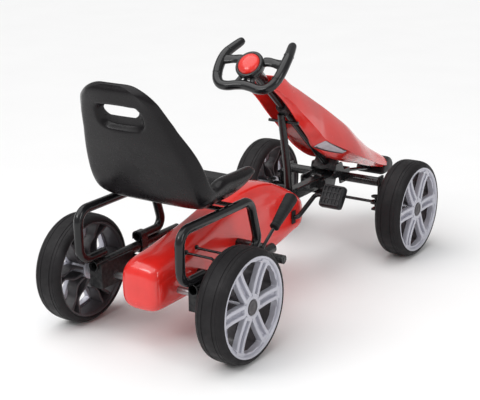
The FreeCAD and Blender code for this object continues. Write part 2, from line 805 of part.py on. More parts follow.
def on_column(across, climb, along):
    """Kart coordinates, from the rear axle, of a point in the column's frame."""
    ahead = S.wheel_hub_ahead + lean_cos * climb - lean_sin * along
    height = S.wheel_hub_height + lean_sin * climb + lean_cos * along
    return across, ahead, height


column_end = -S.column_length
pitman_low = column_end + 3
tie_level = pitman_low - 6


def make_steering_column():
    shaft = tube("column_shaft", half(S.column_dia), half(S.column_dia) - 2, S.column_length - 12, "z", 0, 0,
                 column_end)
    body = new_body("pitman_plate")
    reach = -S.pitman_reach
    plate = [(-13, 13, 6), (13, 13, 6), (23, reach - 9, 8), (-23, reach - 9, 8)]
    pad(body, outline(sketch_on(body, "pitman_shape", "XY_Plane", pitman_low), plate), dim(5))
    pins = []
    for side, sign in SIDES.items():
        pins.append(cylinder(f"pitman_pin_{side}", 4, 16, "z", 14 * sign, reach, pitman_low - 13))
        pins.append(cylinder(f"pitman_pin_head_{side}", 6.5, 2, "z", 14 * sign, reach, pitman_low - 14))
    node_on_column(fuse("column_assembly", shaft, body, *pins), "steering_column")


def make_steering_wheel():
    """An open-topped wheel: two upright horns, a waved lower rim and four spokes."""
    grip = half(S.grip_dia)
    wide = S.grip_half
    path = [(-wide - 1, 27), (-wide - 2, 4, 40), (18 - wide, -58, 22), (0, -51, 60), (wide - 18, -58, 22),
            (wide + 2, 4, 40), (wide + 1, 27)]
    rim = bent_tube("wheel_rim", path, grip, plane="XY_Plane")
    horns = []
    for side, sign in SIDES.items():
        horn = bent_tube(f"wheel_horn_{side}", [((wide + 1) * sign, -2), ((wide - 1) * sign, 22, 40),
                                                ((wide - 16) * sign, 64)], grip, plane="XY_Plane")
        horn.Placement = Placement(Vector(0, 27, 0), Rotation(Vector(1, 0, 0), -22))
        horns.append(horn)
    spokes = new_body("wheel_spokes")
    web = [(-wide, -3), (-30, -16, 10), (-24, -52), (24, -52), (30, -16, 10), (wide, -3), (wide, 22, 6),
           (40, 32, 30), (0, 34), (-40, 32, 30), (-wide, 22, 6)]
    pad(spokes, outline(sketch_on(spokes, "wheel_web", "XY_Plane"), web), dim(12), both_ways=True)
    for side, sign in SIDES.items():
        hole = [(4 * sign, -38, 2), (15 * sign, -44, 2), (19 * sign, -30, 2)]
        window = outline(sketch_on(spokes, f"wheel_window_{side}", "XY_Plane"), hole)
        pocket(spokes, window, 60, both_ways=True)
    boss = cylinder("wheel_boss", half(S.hub_boss_dia), 22, "z", 0, 0, -9)
    well = cylinder("wheel_button_well", half(S.button_dia) + 0.4, 20, "z", 0, 0, 4)
    socket = cylinder("wheel_column_socket", half(S.column_dia), 60, "z", 0, 0, -72)
    neck = cylinder("wheel_neck", 16, 22, "z", 0, 0, -30)
    wheel = cut("wheel_moulding", fuse("wheel_solid", rim, spokes, boss, neck, *horns), well, socket)
    node_on_column(wheel, "steering_wheel")
    button = new_body("horn_button_dome")
    radius = half(S.button_dia)
    dome = [(0, 8.4), (radius, 8.4), (radius, 16, 2), (radius - 8, 22, 14), (0, 24.5)]
    revolve(button, outline(sketch_on(button, "horn_button_profile", "XZ_Plane"), dome), "Z_Axis")
    node_on_column(button, "horn_button")


def make_column_supports():
    radius = half(S.column_dia) + S.running_fit
    lower = block("lower_bearing_block", (bracket_inside * 2, 30, 12), -bracket_inside, -17, -500)
    bore = cylinder("lower_bearing_bore", radius, 30, "z", 0, 0, -510)
    node_on_column(cut("lower_bearing", lower, bore), "column_lower_bush")
    upper = tube("upper_bearing", 16, radius, 26, "z", 0, 0, -212)
    node_on_column(upper, "column_upper_bush")
    _, ahead, height = on_column(0, -17, -199)
    foot = backbone_floor + S.backbone_size
    body = bent_tube("strut_tube", [(565, foot + 1.5), (559, foot + 60, 60), (ahead, height)], dim(10), dim(8.5))
    plate = block("strut_foot", (S.backbone_size, 40, 4), -half(S.backbone_size), 545, foot)
    saddle = cylinder("strut_saddle", 16.1, 40, "z")
    saddle.Placement = Placement(Vector(), Rotation(Vector(1, 0, 0), column_lean.value))
    _, saddle_y, saddle_z = on_column(0, 0, -220)
    locate(saddle, 0, saddle_y, saddle_z)
    bind(saddle, "Placement.Rotation.Angle", column_lean)
    rest = cylinder("strut_hood_rest", 4, 88, "x", -44, 540.8, 396.8)
    node(cut("strut_coped", fuse("strut_welded", body, plate, rest), saddle), "column_strut")


def make_knuckles():
    _, tie_y, tie_z = on_column(0, -S.pitman_reach, tie_level)
    for side, sign in SIDES.items():
        barrel = cylinder(f"knuckle_{side}_barrel", 12, 85, "z", 0, 0, 87.5)
        outer = half(S.track) + S.hub_face - kingpin_x
        axle = cylinder(f"knuckle_{side}_axle", half(S.axle_dia), outer, "x", 0 if sign > 0 else -outer, 0,
                        S.axle_height)
        stop = half(S.track) - 28.3 - kingpin_x
        collar = cylinder(f"knuckle_{side}_collar", half(S.collar_dia), stop, "x", 0 if sign > 0 else -stop, 0,
                          S.axle_height)
        reach = S.wheelbase - tie_y
        arm = block(f"knuckle_{side}_arm", (18, reach + 9, 6), -9, -reach - 9, 132)
        pin = cylinder(f"knuckle_{side}_pin", 4, 40, "z", 0, -reach, 132)
        washer = cylinder(f"knuckle_{side}_washer", 13, 3, "z", 0, -reach, tie_z + 14.5)
        bore = cylinder(f"knuckle_{side}_bore", half(S.kingpin_dia) + S.running_fit, 120, "z", 0, 0, 70)
        solid = cut(f"knuckle_{side}", fuse(f"knuckle_{side}_forging", barrel, axle, collar, arm, pin, washer), bore)
        node(solid, f"steering_knuckle_{side}", kingpin_x * sign, S.wheelbase, 0)
        inner = (14, tie_y, tie_z)
        rod = cylinder(f"tie_{side}_bar", half(S.tie_rod_dia), kingpin_x - 33, "x",
                       20 if sign > 0 else 13 - kingpin_x, tie_y, tie_z)
        eye = tube(f"tie_{side}_eye", 8, 4.05, 9, "z", 0, 0, -4.5)
        eye.Placement = Placement(Vector(), Rotation(Vector(1, 0, 0), column_lean.value))
        bind(eye, "Placement.Rotation.Angle", column_lean)
        locate(eye, inner[0] * sign, tie_y, tie_z)
        ring = tube(f"tie_{side}_ring", 15, 11, 6, "z", kingpin_x * sign, tie_y, tie_z - 3)
        clear = cylinder(f"tie_{side}_clear", 4.05, 60, "z", 0, 0, -30)
        clear.Placement = Placement(Vector(), Rotation(Vector(1, 0, 0), column_lean.value))
        bind(clear, "Placement.Rotation.Angle", column_lean)
        locate(clear, inner[0] * sign, tie_y, tie_z)
        loose = cylinder(f"tie_{side}_loose", 11, 20, "z", kingpin_x * sign, tie_y, tie_z - 10)
        node(cut(f"tie_{side}", fuse(f"tie_{side}_solid", rod, eye, ring), clear, loose), f"tie_rod_{side}")


make_steering_column()
make_steering_wheel()
make_column_supports()
make_knuckles()


# ---------------------------------------------------------------- hood, nose and lights

def hood_section(ridge, crease, edge, rise, drop, wall=3):
    """Half widths at the ridge, crease and lower edge; heights above and below the crease."""
    outer = [(-edge, -drop), (-crease, 0), (-ridge, rise), (ridge, rise), (crease, 0), (edge, -drop)]
    thin = wall / 2
    inner = [(edge - thin, wall - drop), (crease - wall - thin, thin), (ridge - thin, rise - wall),
             (thin - ridge, rise - wall), (wall + thin - crease, thin), (thin - edge, wall - drop)]
    return outer + inner


# Each station: where the crease lies (ahead, height), the plane's lean, then the section.
HOOD_STATIONS = [
    (431, 508, 76, (27, 46, 40, 64, 5)),
    (487, 471, 50, (29, 52, 40, 50, 11)),
    (527, 436, 46, (30, 57, 40, 60, 14)),
    (570, 399.6, 42, (30, 61, 37, 70, 18)),
    (616, 361, 36, (30, 64, 33, 80, 20)),
    (648, 333, 30, (31, 67, 30, 88, 25)),
    (733, 290.6, 20, (32, 74, 36, 82, 31)),
    (812, 253, 10, (34, 78, 38, 75, 21)),
    (871.5, 229, 5, (34, 75, 34, 59, 17)),
    (940, 201, 8, (34, 66, 36, 41, 12)),
    (1028, 172, 33, (34, 52, 40, 24, 8)),
]


def make_hood():
    stations = [(ahead, height, lean, hood_section(*shape)) for ahead, height, lean, shape in HOOD_STATIONS]
    node(loft("hood_skin", stations), "hood")


def make_nose():
    body = new_body("nose_block")
    front = S.nose_reach
    shape = [(1016, 150, 3), (1044, 192, 8), (front - 14, 184, 14), (front, 164, 10), (front - 8, 146, 6),
             (1024, 142, 6)]
    pad(body, outline(sketch_on(body, "nose_profile", "YZ_Plane"), shape), dim(92), both_ways=True)
    for i in range(4):
        low = 148 + 9 * i
        slot = [(front - 12, low), (front + 4, low), (front + 4, low + 4), (front - 12, low + 4)]
        groove = outline(sketch_on(body, f"nose_slot{i}", "YZ_Plane"), slot)
        pocket(body, groove, 72, both_ways=True)
    node(body, "nose_bumper")
    stay = bent_tube("nose_stay", [(826, 196), (930, 176, 120), (1017, 160)], dim(5))
    node(stay, "hood_stay")


def make_headlights():
    """Slim lenses that lie just proud of the side panels under the hood's crease."""
    first, second = HOOD_STATIONS[5], HOOD_STATIONS[6]

    def panel_point(along, share, proud):
        ahead, height, lean = (a + (b - a) * along for a, b in zip(first[:3], second[:3]))
        _, crease, edge, _, drop = (a + (b - a) * along for a, b in zip(first[3], second[3]))
        slant = math.hypot(crease - edge, drop)
        across = crease + (edge - crease) * share + proud * drop / slant
        up = -drop * share - proud * (crease - edge) / slant
        turn = math.radians(lean)
        return Vector(across, ahead + up * math.sin(turn), height + up * math.cos(turn))

    lenses = []
    for sign in SIDES.values():
        rings = []
        for proud in (1.4, 4.4):
            ring = [panel_point(0.06, 0.14, proud), panel_point(0.4, 0.8, proud),
                    panel_point(0.98, 0.4, proud), panel_point(0.98, 0.16, proud)]
            rings.append([Vector(point.x * sign, point.y, point.z) for point in ring])
        triangles = []
        for ring in rings:
            triangles += [(ring[0], ring[1], ring[2]), (ring[0], ring[2], ring[3])]
        for i in range(4):
            j = (i + 1) % 4
            triangles += [(rings[0][i], rings[0][j], rings[1][j]), (rings[0][i], rings[1][j], rings[1][i])]
        faces = [Part.Face(Part.makePolygon(list(corner) + [corner[0]])) for corner in triangles]
        shell = Part.Shell(faces)
        solid = Part.Solid(shell)
        if solid.Volume < 0:
            solid.reverse()
        lenses.append(solid)
    item = doc.addObject("Part::Feature", "headlight_lenses")
    item.Shape = Part.Compound(lenses)
    node(item, "headlights")


make_hood()
make_nose()
make_headlights()


# ---------------------------------------------------------------- brake lever

def make_brake():
    """A hand lever on the right rail; its pad swings back onto the rear tyre."""
    pivot_y, pivot_z = 180, S.rail_height
    plate_x = rail_x + rail_radius
    plate = block("brake_plate", (4, 34, 24), plate_x, pivot_y - 17, pivot_z - 12)
    pin = cylinder("brake_pin", 4, 21, "x", plate_x, pivot_y, pivot_z)
    head = cylinder("brake_pin_head", 7, 3, "x", plate_x + 18, pivot_y, pivot_z)
    node(fuse("brake_mount", plate, pin, head), "brake_bracket")

    arm_x = plate_x + 12
    rod = dim(4)
    boss = cylinder("lever_boss", 9, 10, "x", -5, 0, 0)
    start = (5, 31)
    run = (129, 88)

    def along_grip(share):
        return start[0] + run[0] * share, start[1] + run[1] * share

    rise = bent_tube("lever_bar", [(1, 4), (*start, 14), along_grip(0.93)], rod)
    pad_reach = 57.4
    pad_angle = 34.6
    back = bent_tube("lever_back", [(0, -4), (0, -pad_reach, 6), (90, -pad_reach)], rod, plane="XY_Plane")
    back.Placement = Placement(Vector(), Rotation(Vector(1, 0, 0), -pad_angle))
    hole = cylinder("lever_hole", 4.05, 20, "x", -10, 0, 0)
    lever = cut("lever_drilled", fuse("lever_welded", boss, rise, back), hole)
    node(lever, "brake_lever", arm_x, pivot_y, pivot_z)

    slope = math.degrees(math.atan2(run[1], run[0]))
    sleeve = fuse("grip_solid", cone("grip_taper", 11.5, 15.5, 92, "z"), cylinder("grip_collar", 12.5, 6, "z", 0, 0, -6))
    core = cylinder("grip_core", 4.05, 93, "z", 0, 0, -10)
    grip = cut("grip_sleeve", sleeve, core)
    grip.Placement = Placement(Vector(), Rotation(Vector(1, 0, 0), slope - 90))
    mouth = along_grip(0.4)
    node(grip, "brake_grip", arm_x, pivot_y + mouth[0], pivot_z + mouth[1])

    pad_sleeve = tube("pad_sleeve", 10, 4, 62, "x", 27, 0, 0)
    lean = math.radians(pad_angle)
    node(pad_sleeve, "brake_pad", arm_x, pivot_y - pad_reach * math.cos(lean),
         pivot_z + pad_reach * math.sin(lean))


make_brake()


# ---------------------------------------------------------------- seat

def make_hoops():
    """Side hoops that carry the seat; their feet lie on the rails."""
    foot = rail_top + half(S.hoop_dia) + S.clearance
    bend = S.hoop_bend
    radius = half(S.hoop_dia)
    for side, sign in SIDES.items():
        path = [(-18, foot), (-100, foot, bend), (-100, S.hoop_top, bend), (168, S.hoop_top, bend),
                (204, foot, bend - 8), (102, foot)]
        hoop = bent_tube(f"hoop_{side}", path, radius, radius - S.tube_wall)
        start = -48 if sign > 0 else -3
        tabs = [block(f"hoop_{side}_tab{i}", (51, 20, 2.9), start, ahead, 317.5) for i, ahead in enumerate((42, 78))]
        node(fuse(f"hoop_{side}_welded", hoop, *tabs), f"seat_hoop_{side}", rail_x * sign)
    straps = []
    for side, sign in SIDES.items():
        body = new_body(f"strap_{side}")
        wide = rail_radius + S.clearance
        low = S.rail_height - wide
        high = foot + radius + 0.1
        skin = 2.5
        bend = 9.5
        section = [(wide + skin, rail_top + 4), (wide + skin, high + skin, bend + skin),
                   (-wide - skin, high + skin, bend + skin), (-wide - skin, low - skin, bend + skin),
                   (4, low - skin), (4, low), (-wide, low, bend), (-wide, high, bend), (wide, high, bend),
                   (wide, rail_top + 4)]
        sketch = sketch_on(body, f"strap_{side}_section", "XZ_Plane", -104)
        outline(sketch, [(corner[0] * sign, *corner[1:]) for corner in section])
        pad(body, sketch, dim(22), backwards=True)
        locate(body, rail_x * sign)
        straps.append(body)
    node(group("strap_pair", *straps), "seat_clamps")


def seat_section(base, lip, depth, wall=4):
    """A trough open towards the rider: flat base, flared sides with the given depth."""
    return [(-base, 0), (base, 0), (lip, depth - 4), (lip, depth), (lip - wall, depth), (base - wall, wall),
            (wall - base, wall), (wall - lip, depth), (-lip, depth), (-lip, depth - 4)]


# Each station: back or under surface (ahead, height), its lean, then base, lip and depth.
SEAT_STATIONS = [
    (178, 342, 0, (96, 146, 20)),
    (150, 327, -2, (108, 155, 46)),
    (100, 320.5, -2, (114, 160, 66)),
    (40, 320.5, 8, (118, 160, 74)),
    (-4, 326, 36, (120, 158, 62)),
    (-38, 360, 60, (122, 157, 48)),
    (-54, 400, 68, (125, 156, 42)),
    (-77, 456, 68, (124, 149, 40)),
    (-104, 512, 67, (102, 125, 32)),
    (-122, 558, 67, (88, 104, 24)),
    (-137, 596, 67, (68, 82, 16)),
    (-144, 614, 67, (54, 64, 10)),
]


def make_seat():
    stations = [(ahead, height, lean, seat_section(*shape)) for ahead, height, lean, shape in SEAT_STATIONS]
    body = loft("seat_bucket", stations)
    handle = [(-45, 534, 12), (45, 534, 12), (45, 564, 12), (-45, 564, 12)]
    slot = outline(sketch_on(body, "seat_handle_slot", "XZ_Plane", 120), handle)
    pocket(body, slot, 100, both_ways=True)
    node(body, "seat_shell")


make_hoops()
make_seat()


# ---------------------------------------------------------------- check and write

doc.recompute()
for item in doc.Objects:
    if "Invalid" in item.State or "Error" in item.State:
        raise RuntimeError(f"{item.Name} ({item.Label}) failed: {item.State}")
for item in nodes:
    if item.Shape.isNull() or not item.Shape.isValid():
        raise RuntimeError(f"{item.Label} has no valid shape")
os.makedirs("parts", exist_ok=True)
for item in nodes:
    item.Shape.exportStep(f"parts/{item.Label}.step")
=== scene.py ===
import json
import math

import bmesh
import bpy
from mathutils import Matrix, Vector


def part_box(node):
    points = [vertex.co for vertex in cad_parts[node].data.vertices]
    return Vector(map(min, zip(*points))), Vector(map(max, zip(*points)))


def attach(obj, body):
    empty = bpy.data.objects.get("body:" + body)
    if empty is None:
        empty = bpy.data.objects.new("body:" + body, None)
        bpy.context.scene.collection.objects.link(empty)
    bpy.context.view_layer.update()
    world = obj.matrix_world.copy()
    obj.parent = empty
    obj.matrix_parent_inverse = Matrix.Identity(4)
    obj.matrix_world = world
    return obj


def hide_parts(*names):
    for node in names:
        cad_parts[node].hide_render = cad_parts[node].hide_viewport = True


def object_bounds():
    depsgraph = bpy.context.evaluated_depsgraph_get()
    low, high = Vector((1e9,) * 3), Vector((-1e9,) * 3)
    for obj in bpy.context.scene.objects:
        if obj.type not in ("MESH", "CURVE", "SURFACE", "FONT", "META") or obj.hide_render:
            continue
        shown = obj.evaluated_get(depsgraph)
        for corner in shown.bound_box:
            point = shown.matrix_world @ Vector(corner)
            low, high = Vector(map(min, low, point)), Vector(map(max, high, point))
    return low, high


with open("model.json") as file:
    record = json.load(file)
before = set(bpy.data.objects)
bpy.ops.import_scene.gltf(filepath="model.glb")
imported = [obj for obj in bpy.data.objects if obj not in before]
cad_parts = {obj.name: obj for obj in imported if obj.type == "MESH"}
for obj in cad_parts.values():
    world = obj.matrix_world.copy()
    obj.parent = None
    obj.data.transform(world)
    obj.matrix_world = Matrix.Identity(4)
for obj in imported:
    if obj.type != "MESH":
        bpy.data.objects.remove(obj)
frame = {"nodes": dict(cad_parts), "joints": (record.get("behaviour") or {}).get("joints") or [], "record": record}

# A child's pedal go kart.  Sizes in the tables are millimetres: x to the rider's
# right, y forwards from the rear axle, z up from the ground.

MM = 0.001
SIDES = {"left": -1, "right": 1}
cad_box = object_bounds()


def middle(node):
    low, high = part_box(node)
    return (low + high) / 2


AXLE_Y = middle("rear_axle").y


def at(x, y, z):
    """The frame's point for a place given in millimetres from the rear axle and the ground."""
    return Vector((x * MM, AXLE_Y + y * MM, z * MM))


def mix(a, b, share):
    return a + (b - a) * share


def ease(low, high, value):
    """0 below low, 1 above high, and an S curve between them."""
    share = min(1.0, max(0.0, (value - low) / (high - low)))
    return share * share * (3 - 2 * share)


def flowing(rows, parts):
    """More rows between the given ones, on a Catmull-Rom curve through every number in them."""
    made = []
    last = len(rows) - 1
    for i in range(last):
        a, b, c, d = rows[max(i - 1, 0)], rows[i], rows[i + 1], rows[min(i + 2, last)]
        for step in range(parts):
            t = step / parts
            made.append([0.5 * (2 * q + (r - p) * t + (2 * p - 5 * q + 4 * r - s) * t * t
                                + (3 * q - p - 3 * r + s) * t ** 3) for p, q, r, s in zip(a, b, c, d)])
    return made + [list(rows[-1])]


# ---------------------------------------------------------------- materials

def new_material(name):
    material = bpy.data.materials.new(name)
    material.use_nodes = True
    tree = material.node_tree
    shader = tree.nodes["Principled BSDF"]
    place = tree.nodes.new("ShaderNodeTexCoord").outputs["Object"]
    return material, tree, shader, place


def noise(tree, place, scale, detail=3.0, rough=0.55):
    node = tree.nodes.new("ShaderNodeTexNoise")
    node.inputs["Scale"].default_value = scale
    node.inputs["Detail"].default_value = detail
    node.inputs["Roughness"].default_value = rough
    tree.links.new(place, node.inputs["Vector"])
    return node.outputs["Fac"]


def stretch(tree, value, low, high, new_low, new_high):
    node = tree.nodes.new("ShaderNodeMapRange")
    for name, number in (("From Min", low), ("From Max", high), ("To Min", new_low), ("To Max", new_high)):
        node.inputs[name].default_value = number
    tree.links.new(value, node.inputs["Value"])
    return node.outputs["Result"]


def blend_colours(tree, share, first, second):
    node = tree.nodes.new("ShaderNodeMix")
    node.data_type = "RGBA"
    for socket, colour in ((node.inputs[6], first), (node.inputs[7], second)):
        if isinstance(colour, tuple):
            socket.default_value = (*colour, 1)
        else:
            tree.links.new(colour, socket)
    tree.links.new(share, node.inputs[0])
    return node.outputs[2]


def calculate(tree, operation, first, second):
    node = tree.nodes.new("ShaderNodeMath")
    node.operation = operation
    for socket, value in zip(node.inputs, (first, second)):
        if isinstance(value, (int, float)):
            socket.default_value = value
        else:
            tree.links.new(value, socket)
    return node.outputs[0]


def raise_surface(tree, shader, layers):
    """Bump from several heights, each (height, distance in metres)."""
    normal = None
    for height, distance in layers:
        bump = tree.nodes.new("ShaderNodeBump")
        bump.inputs["Strength"].default_value = 1.0
        bump.inputs["Distance"].default_value = distance
        tree.links.new(height, bump.inputs["Height"])
        if normal is not None:
            tree.links.new(normal, bump.inputs["Normal"])
        normal = bump.outputs["Normal"]
    tree.links.new(normal, shader.inputs["Normal"])


def finish_for(name, colour, rough, coat=0.0, metal=0.0, grain=700.0, depth=0.00005, shade=0.16, scuff=0.35,
               cells=False, specular=0.5):
    """Moulded or painted surface: uneven tone, worn edges, fine scratches and a grain with real size."""
    material, tree, shader, place = new_material(name)
    dark = tuple(channel * (1 - shade) for channel in colour)
    light = tuple(min(1, channel * (1 + shade) + 0.003) for channel in colour)
    broad = stretch(tree, noise(tree, place, 9.0), 0.3, 0.7, 0, 1)
    tone = blend_colours(tree, broad, dark, light)
    edges = tree.nodes.new("ShaderNodeNewGeometry").outputs["Pointiness"]
    ragged = calculate(tree, "MULTIPLY", stretch(tree, edges, 0.53, 0.62, 0, scuff),
                       stretch(tree, noise(tree, place, 130.0, 4), 0.4, 0.65, 0, 1))
    worn = tuple(mix(channel, 0.42, 0.35) for channel in colour)
    tree.links.new(blend_colours(tree, ragged, tone, worn), shader.inputs["Base Color"])
    smears = noise(tree, place, 38.0, 5, 0.65)
    tree.links.new(stretch(tree, smears, 0.3, 0.72, rough * 0.78, rough * 1.3), shader.inputs["Roughness"])
    if cells:
        pores = tree.nodes.new("ShaderNodeTexVoronoi")
        pores.inputs["Scale"].default_value = grain
        tree.links.new(place, pores.inputs["Vector"])
        fine = pores.outputs["Distance"]
    else:
        fine = noise(tree, place, grain, 2)
    raise_surface(tree, shader, [(noise(tree, place, 24.0, 2), depth * 6), (fine, depth)])
    shader.inputs["Metallic"].default_value = metal
    shader.inputs["Coat Weight"].default_value = coat
    shader.inputs["Coat Roughness"].default_value = 0.06
    shader.inputs["Specular IOR Level"].default_value = specular
    return material


def tyre_material():
    """Foam tread: fine lathe marks round the axle, dust in broad patches, a slightly polished crown."""
    material, tree, shader, place = new_material("tyre_foam")
    split = tree.nodes.new("ShaderNodeSeparateXYZ")
    tree.links.new(place, split.inputs[0])
    across = split.outputs["X"]
    squares = [calculate(tree, "MULTIPLY", split.outputs[name], split.outputs[name]) for name in ("Y", "Z")]
    reach = calculate(tree, "POWER", calculate(tree, "ADD", *squares), 0.5)
    marks = calculate(tree, "MULTIPLY", calculate(tree, "ADD", across, reach), 5200.0)
    rings = calculate(tree, "SINE", marks, 0)
    dust = stretch(tree, noise(tree, place, 16.0, 6, 0.7), 0.42, 0.75, 0, 0.55)
    tone = blend_colours(tree, dust, (0.009, 0.008, 0.009), (0.020, 0.018, 0.020))
    tree.links.new(tone, shader.inputs["Base Color"])
    polish = stretch(tree, noise(tree, place, 55.0, 4), 0.3, 0.7, 0.42, 0.66)
    tree.links.new(polish, shader.inputs["Roughness"])
    raise_surface(tree, shader, [(rings, 0.00004), (noise(tree, place, 900.0, 2), 0.00006)])
    shader.inputs["Specular IOR Level"].default_value = 0.22
    return material


def lens_material():
    """Pale moulded lens with fine upright flutes."""
    material, tree, shader, place = new_material("lens_grey")
    split = tree.nodes.new("ShaderNodeSeparateXYZ")
    tree.links.new(place, split.inputs[0])
    flutes = calculate(tree, "SINE", calculate(tree, "MULTIPLY", split.outputs["Y"], 1500.0), 0)
    haze = stretch(tree, noise(tree, place, 60.0, 3), 0.3, 0.7, 0, 1)
    tone = blend_colours(tree, haze, (0.50, 0.46, 0.52), (0.66, 0.63, 0.68))
    tree.links.new(tone, shader.inputs["Base Color"])
    tree.links.new(stretch(tree, haze, 0, 1, 0.08, 0.2), shader.inputs["Roughness"])
    raise_surface(tree, shader, [(flutes, 0.0002)])
    shader.inputs["Coat Weight"].default_value = 0.8
    return material


MATERIALS = {
    "frame_black": finish_for("frame_black", (0.006, 0.006, 0.007), 0.22, coat=0.3, grain=1100,
        scuff=0.12, specular=0.25),
    "housing_black": finish_for("housing_black", (0.008, 0.008, 0.009), 0.4, grain=1500, depth=0.00003,
        cells=True, scuff=0.15, specular=0.25),
    "nylon": finish_for("nylon", (0.016, 0.016, 0.018), 0.45),
    "red_plastic": finish_for("red_plastic", (0.80, 0.022, 0.016), 0.22, coat=0.55, depth=0.00003,
        shade=0.1, scuff=0.12),
    "horn_red": finish_for("horn_red", (0.80, 0.024, 0.016), 0.25, coat=0.5, depth=0.00003, shade=0.08,
        scuff=0.1),
    "seat_plastic": finish_for("seat_plastic", (0.006, 0.005, 0.006), 0.27, grain=1300, depth=0.00004,
        cells=True, shade=0.2, scuff=0.06, specular=0.2),
    "tyre_foam": tyre_material(),
    "rim_silver": finish_for("rim_silver", (0.50, 0.50, 0.56), 0.34, coat=0.2, metal=0.25, grain=1600,
        shade=0.06, scuff=0.1),
    "cap_black": finish_for("cap_black", (0.060, 0.054, 0.060), 0.4, grain=1400, cells=True, scuff=0.2),
    "wheel_black": finish_for("wheel_black", (0.007, 0.007, 0.008), 0.2, coat=0.35, grain=1000,
        depth=0.00003, scuff=0.1, specular=0.28),
    "pedal_black": finish_for("pedal_black", (0.011, 0.011, 0.013), 0.38, grain=1300, cells=True,
        specular=0.3),
    "grip_rubber": finish_for("grip_rubber", (0.007, 0.007, 0.008), 0.55, grain=2200, depth=0.00008,
        cells=True, specular=0.25),
    "nose_black": finish_for("nose_black", (0.011, 0.011, 0.012), 0.36, grain=1300, cells=True,
        specular=0.3),
    "lens_grey": lens_material(),
    "plain_steel": finish_for("plain_steel", (0.42, 0.42, 0.43), 0.32, metal=0.9, grain=2600, shade=0.2),
}

for part in frame["record"]["subparts"]:
    shown = frame["nodes"][part["node"]].data
    shown.materials.clear()
    shown.materials.append(MATERIALS[part["material_slot"]])


# ---------------------------------------------------------------- mesh tools

class Shape:
    """Points and faces in millimetres, gathered from several simple builders."""

    def __init__(self):
        self.points = []
        self.faces = []

    def add(self, points, faces):
        first = len(self.points)
        self.points += [Vector(point) for point in points]
        self.faces += [[first + i for i in face] for face in faces]
        return self

    def skin(self, rows, round_rows=False, joined=False, capped=False):
        """A quad skin over rows of points.  round_rows closes each row, joined closes last to first."""
        count = len(rows[0])
        flat = [point for row in rows for point in row]
        faces = []
        for i in range(len(rows) if joined else len(rows) - 1):
            above = (i + 1) % len(rows)
            for j in range(count if round_rows else count - 1):
                beside = (j + 1) % count
                faces.append([i * count + j, i * count + beside, above * count + beside, above * count + j])
        if capped:
            faces.append(list(range(count)))
            faces.append([(len(rows) - 1) * count + j for j in reversed(range(count))])
        return self.add(flat, faces)

    def lathe(self, profile, steps=64, centre=(0, 0, 0), axis="X"):
        """Turns (along, radius) points about an axis through centre; the profile closes on itself."""
        rows = []
        for along, radius in profile:
            row = []
            for k in range(steps):
                turn = 2 * math.pi * k / steps
                a, b = radius * math.cos(turn), radius * math.sin(turn)
                point = {"X": (along, a, b), "Y": (b, along, a), "Z": (a, b, along)}[axis]
                row.append(Vector(point) + Vector(centre))
            rows.append(row)
        return self.skin(rows, round_rows=True, joined=True)

    def sweep(self, path, sizes, sides=20, flat=1.0):
        """A closed bar along a path; sizes are radii, and flat squeezes it in z."""
        rows = []
        lift = Vector((0, 0, 1))
        for i, point in enumerate(path):
            ahead = (Vector(path[min(i + 1, len(path) - 1)]) - Vector(path[max(i - 1, 0)])).normalized()
            side = ahead.cross(lift).normalized()
            over = side.cross(ahead)
            turns = [2 * math.pi * k / sides for k in range(sides)]
            rows.append([Vector(point) + side * (sizes[i] * math.cos(turn))
                         + over * (sizes[i] * flat * math.sin(turn)) for turn in turns])
        return self.skin(rows, round_rows=True, capped=True)

    def brick(self, low, high):
        x, y, z = zip(low, high)
        corners = [(a, b, c) for a in x for b in y for c in z]
        return self.add(corners, [(0, 1, 3, 2), (4, 6, 7, 5), (0, 4, 5, 1), (2, 3, 7, 6), (0, 2, 6, 4),
                                  (1, 5, 7, 3)])



def place_at(centre, turned=False):
    turn = Matrix.Rotation(math.pi, 4, "Z") if turned else Matrix.Identity(4)
    return Matrix.Translation(centre) @ turn


WORLD = place_at(at(0, 0, 0))
column_joint = next(j for j in frame["joints"] if j["name"] == "steering_turn")
COLUMN_AXIS = Vector(column_joint["axis"]).normalized()
ACROSS = Vector((1, 0, 0))
COLUMN_FRAME = Matrix((ACROSS, COLUMN_AXIS.cross(ACROSS), COLUMN_AXIS)).transposed().to_4x4()
COLUMN_PLACE = Matrix.Translation(Vector(column_joint["pos_m"])) @ COLUMN_FRAME


def build(name, shape, body, finish, stands_for=(), place=WORLD, sharp=38, levels=0, bevel=0.0, wall=0.0):
    """Makes one visible piece from a Shape and fastens it to its CAD body."""
    mesh = bpy.data.meshes.new(name)
    mesh.from_pydata([point * MM for point in shape.points], [], shape.faces)
    work = bmesh.new()
    work.from_mesh(mesh)
    bmesh.ops.remove_doubles(work, verts=work.verts, dist=0.00002)
    bmesh.ops.recalc_face_normals(work, faces=work.faces)
    work.to_mesh(mesh)
    work.free()
    mesh.materials.append(MATERIALS[finish])
    mesh.shade_smooth()
    mesh.set_sharp_from_angle(angle=math.radians(sharp))
    item = bpy.data.objects.new(name, mesh)
    bpy.context.scene.collection.objects.link(item)
    if place is COLUMN_PLACE:
        mesh.transform(place)
    else:
        item.matrix_world = place
    if wall:
        solid = item.modifiers.new("wall", "SOLIDIFY")
        solid.thickness = wall * MM
        solid.offset = -1
    if bevel:
        edge = item.modifiers.new("edge", "BEVEL")
        edge.width = bevel * MM
        edge.segments = 2
        edge.limit_method = "ANGLE"
        edge.angle_limit = math.radians(32)
        edge.harden_normals = True
    if levels:
        smooth = item.modifiers.new("smooth", "SUBSURF")
        smooth.levels = levels
        smooth.render_levels = levels
    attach(item, body)
    if stands_for:
        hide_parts(*stands_for)
    return item


# ---------------------------------------------------------------- camera, light and floor

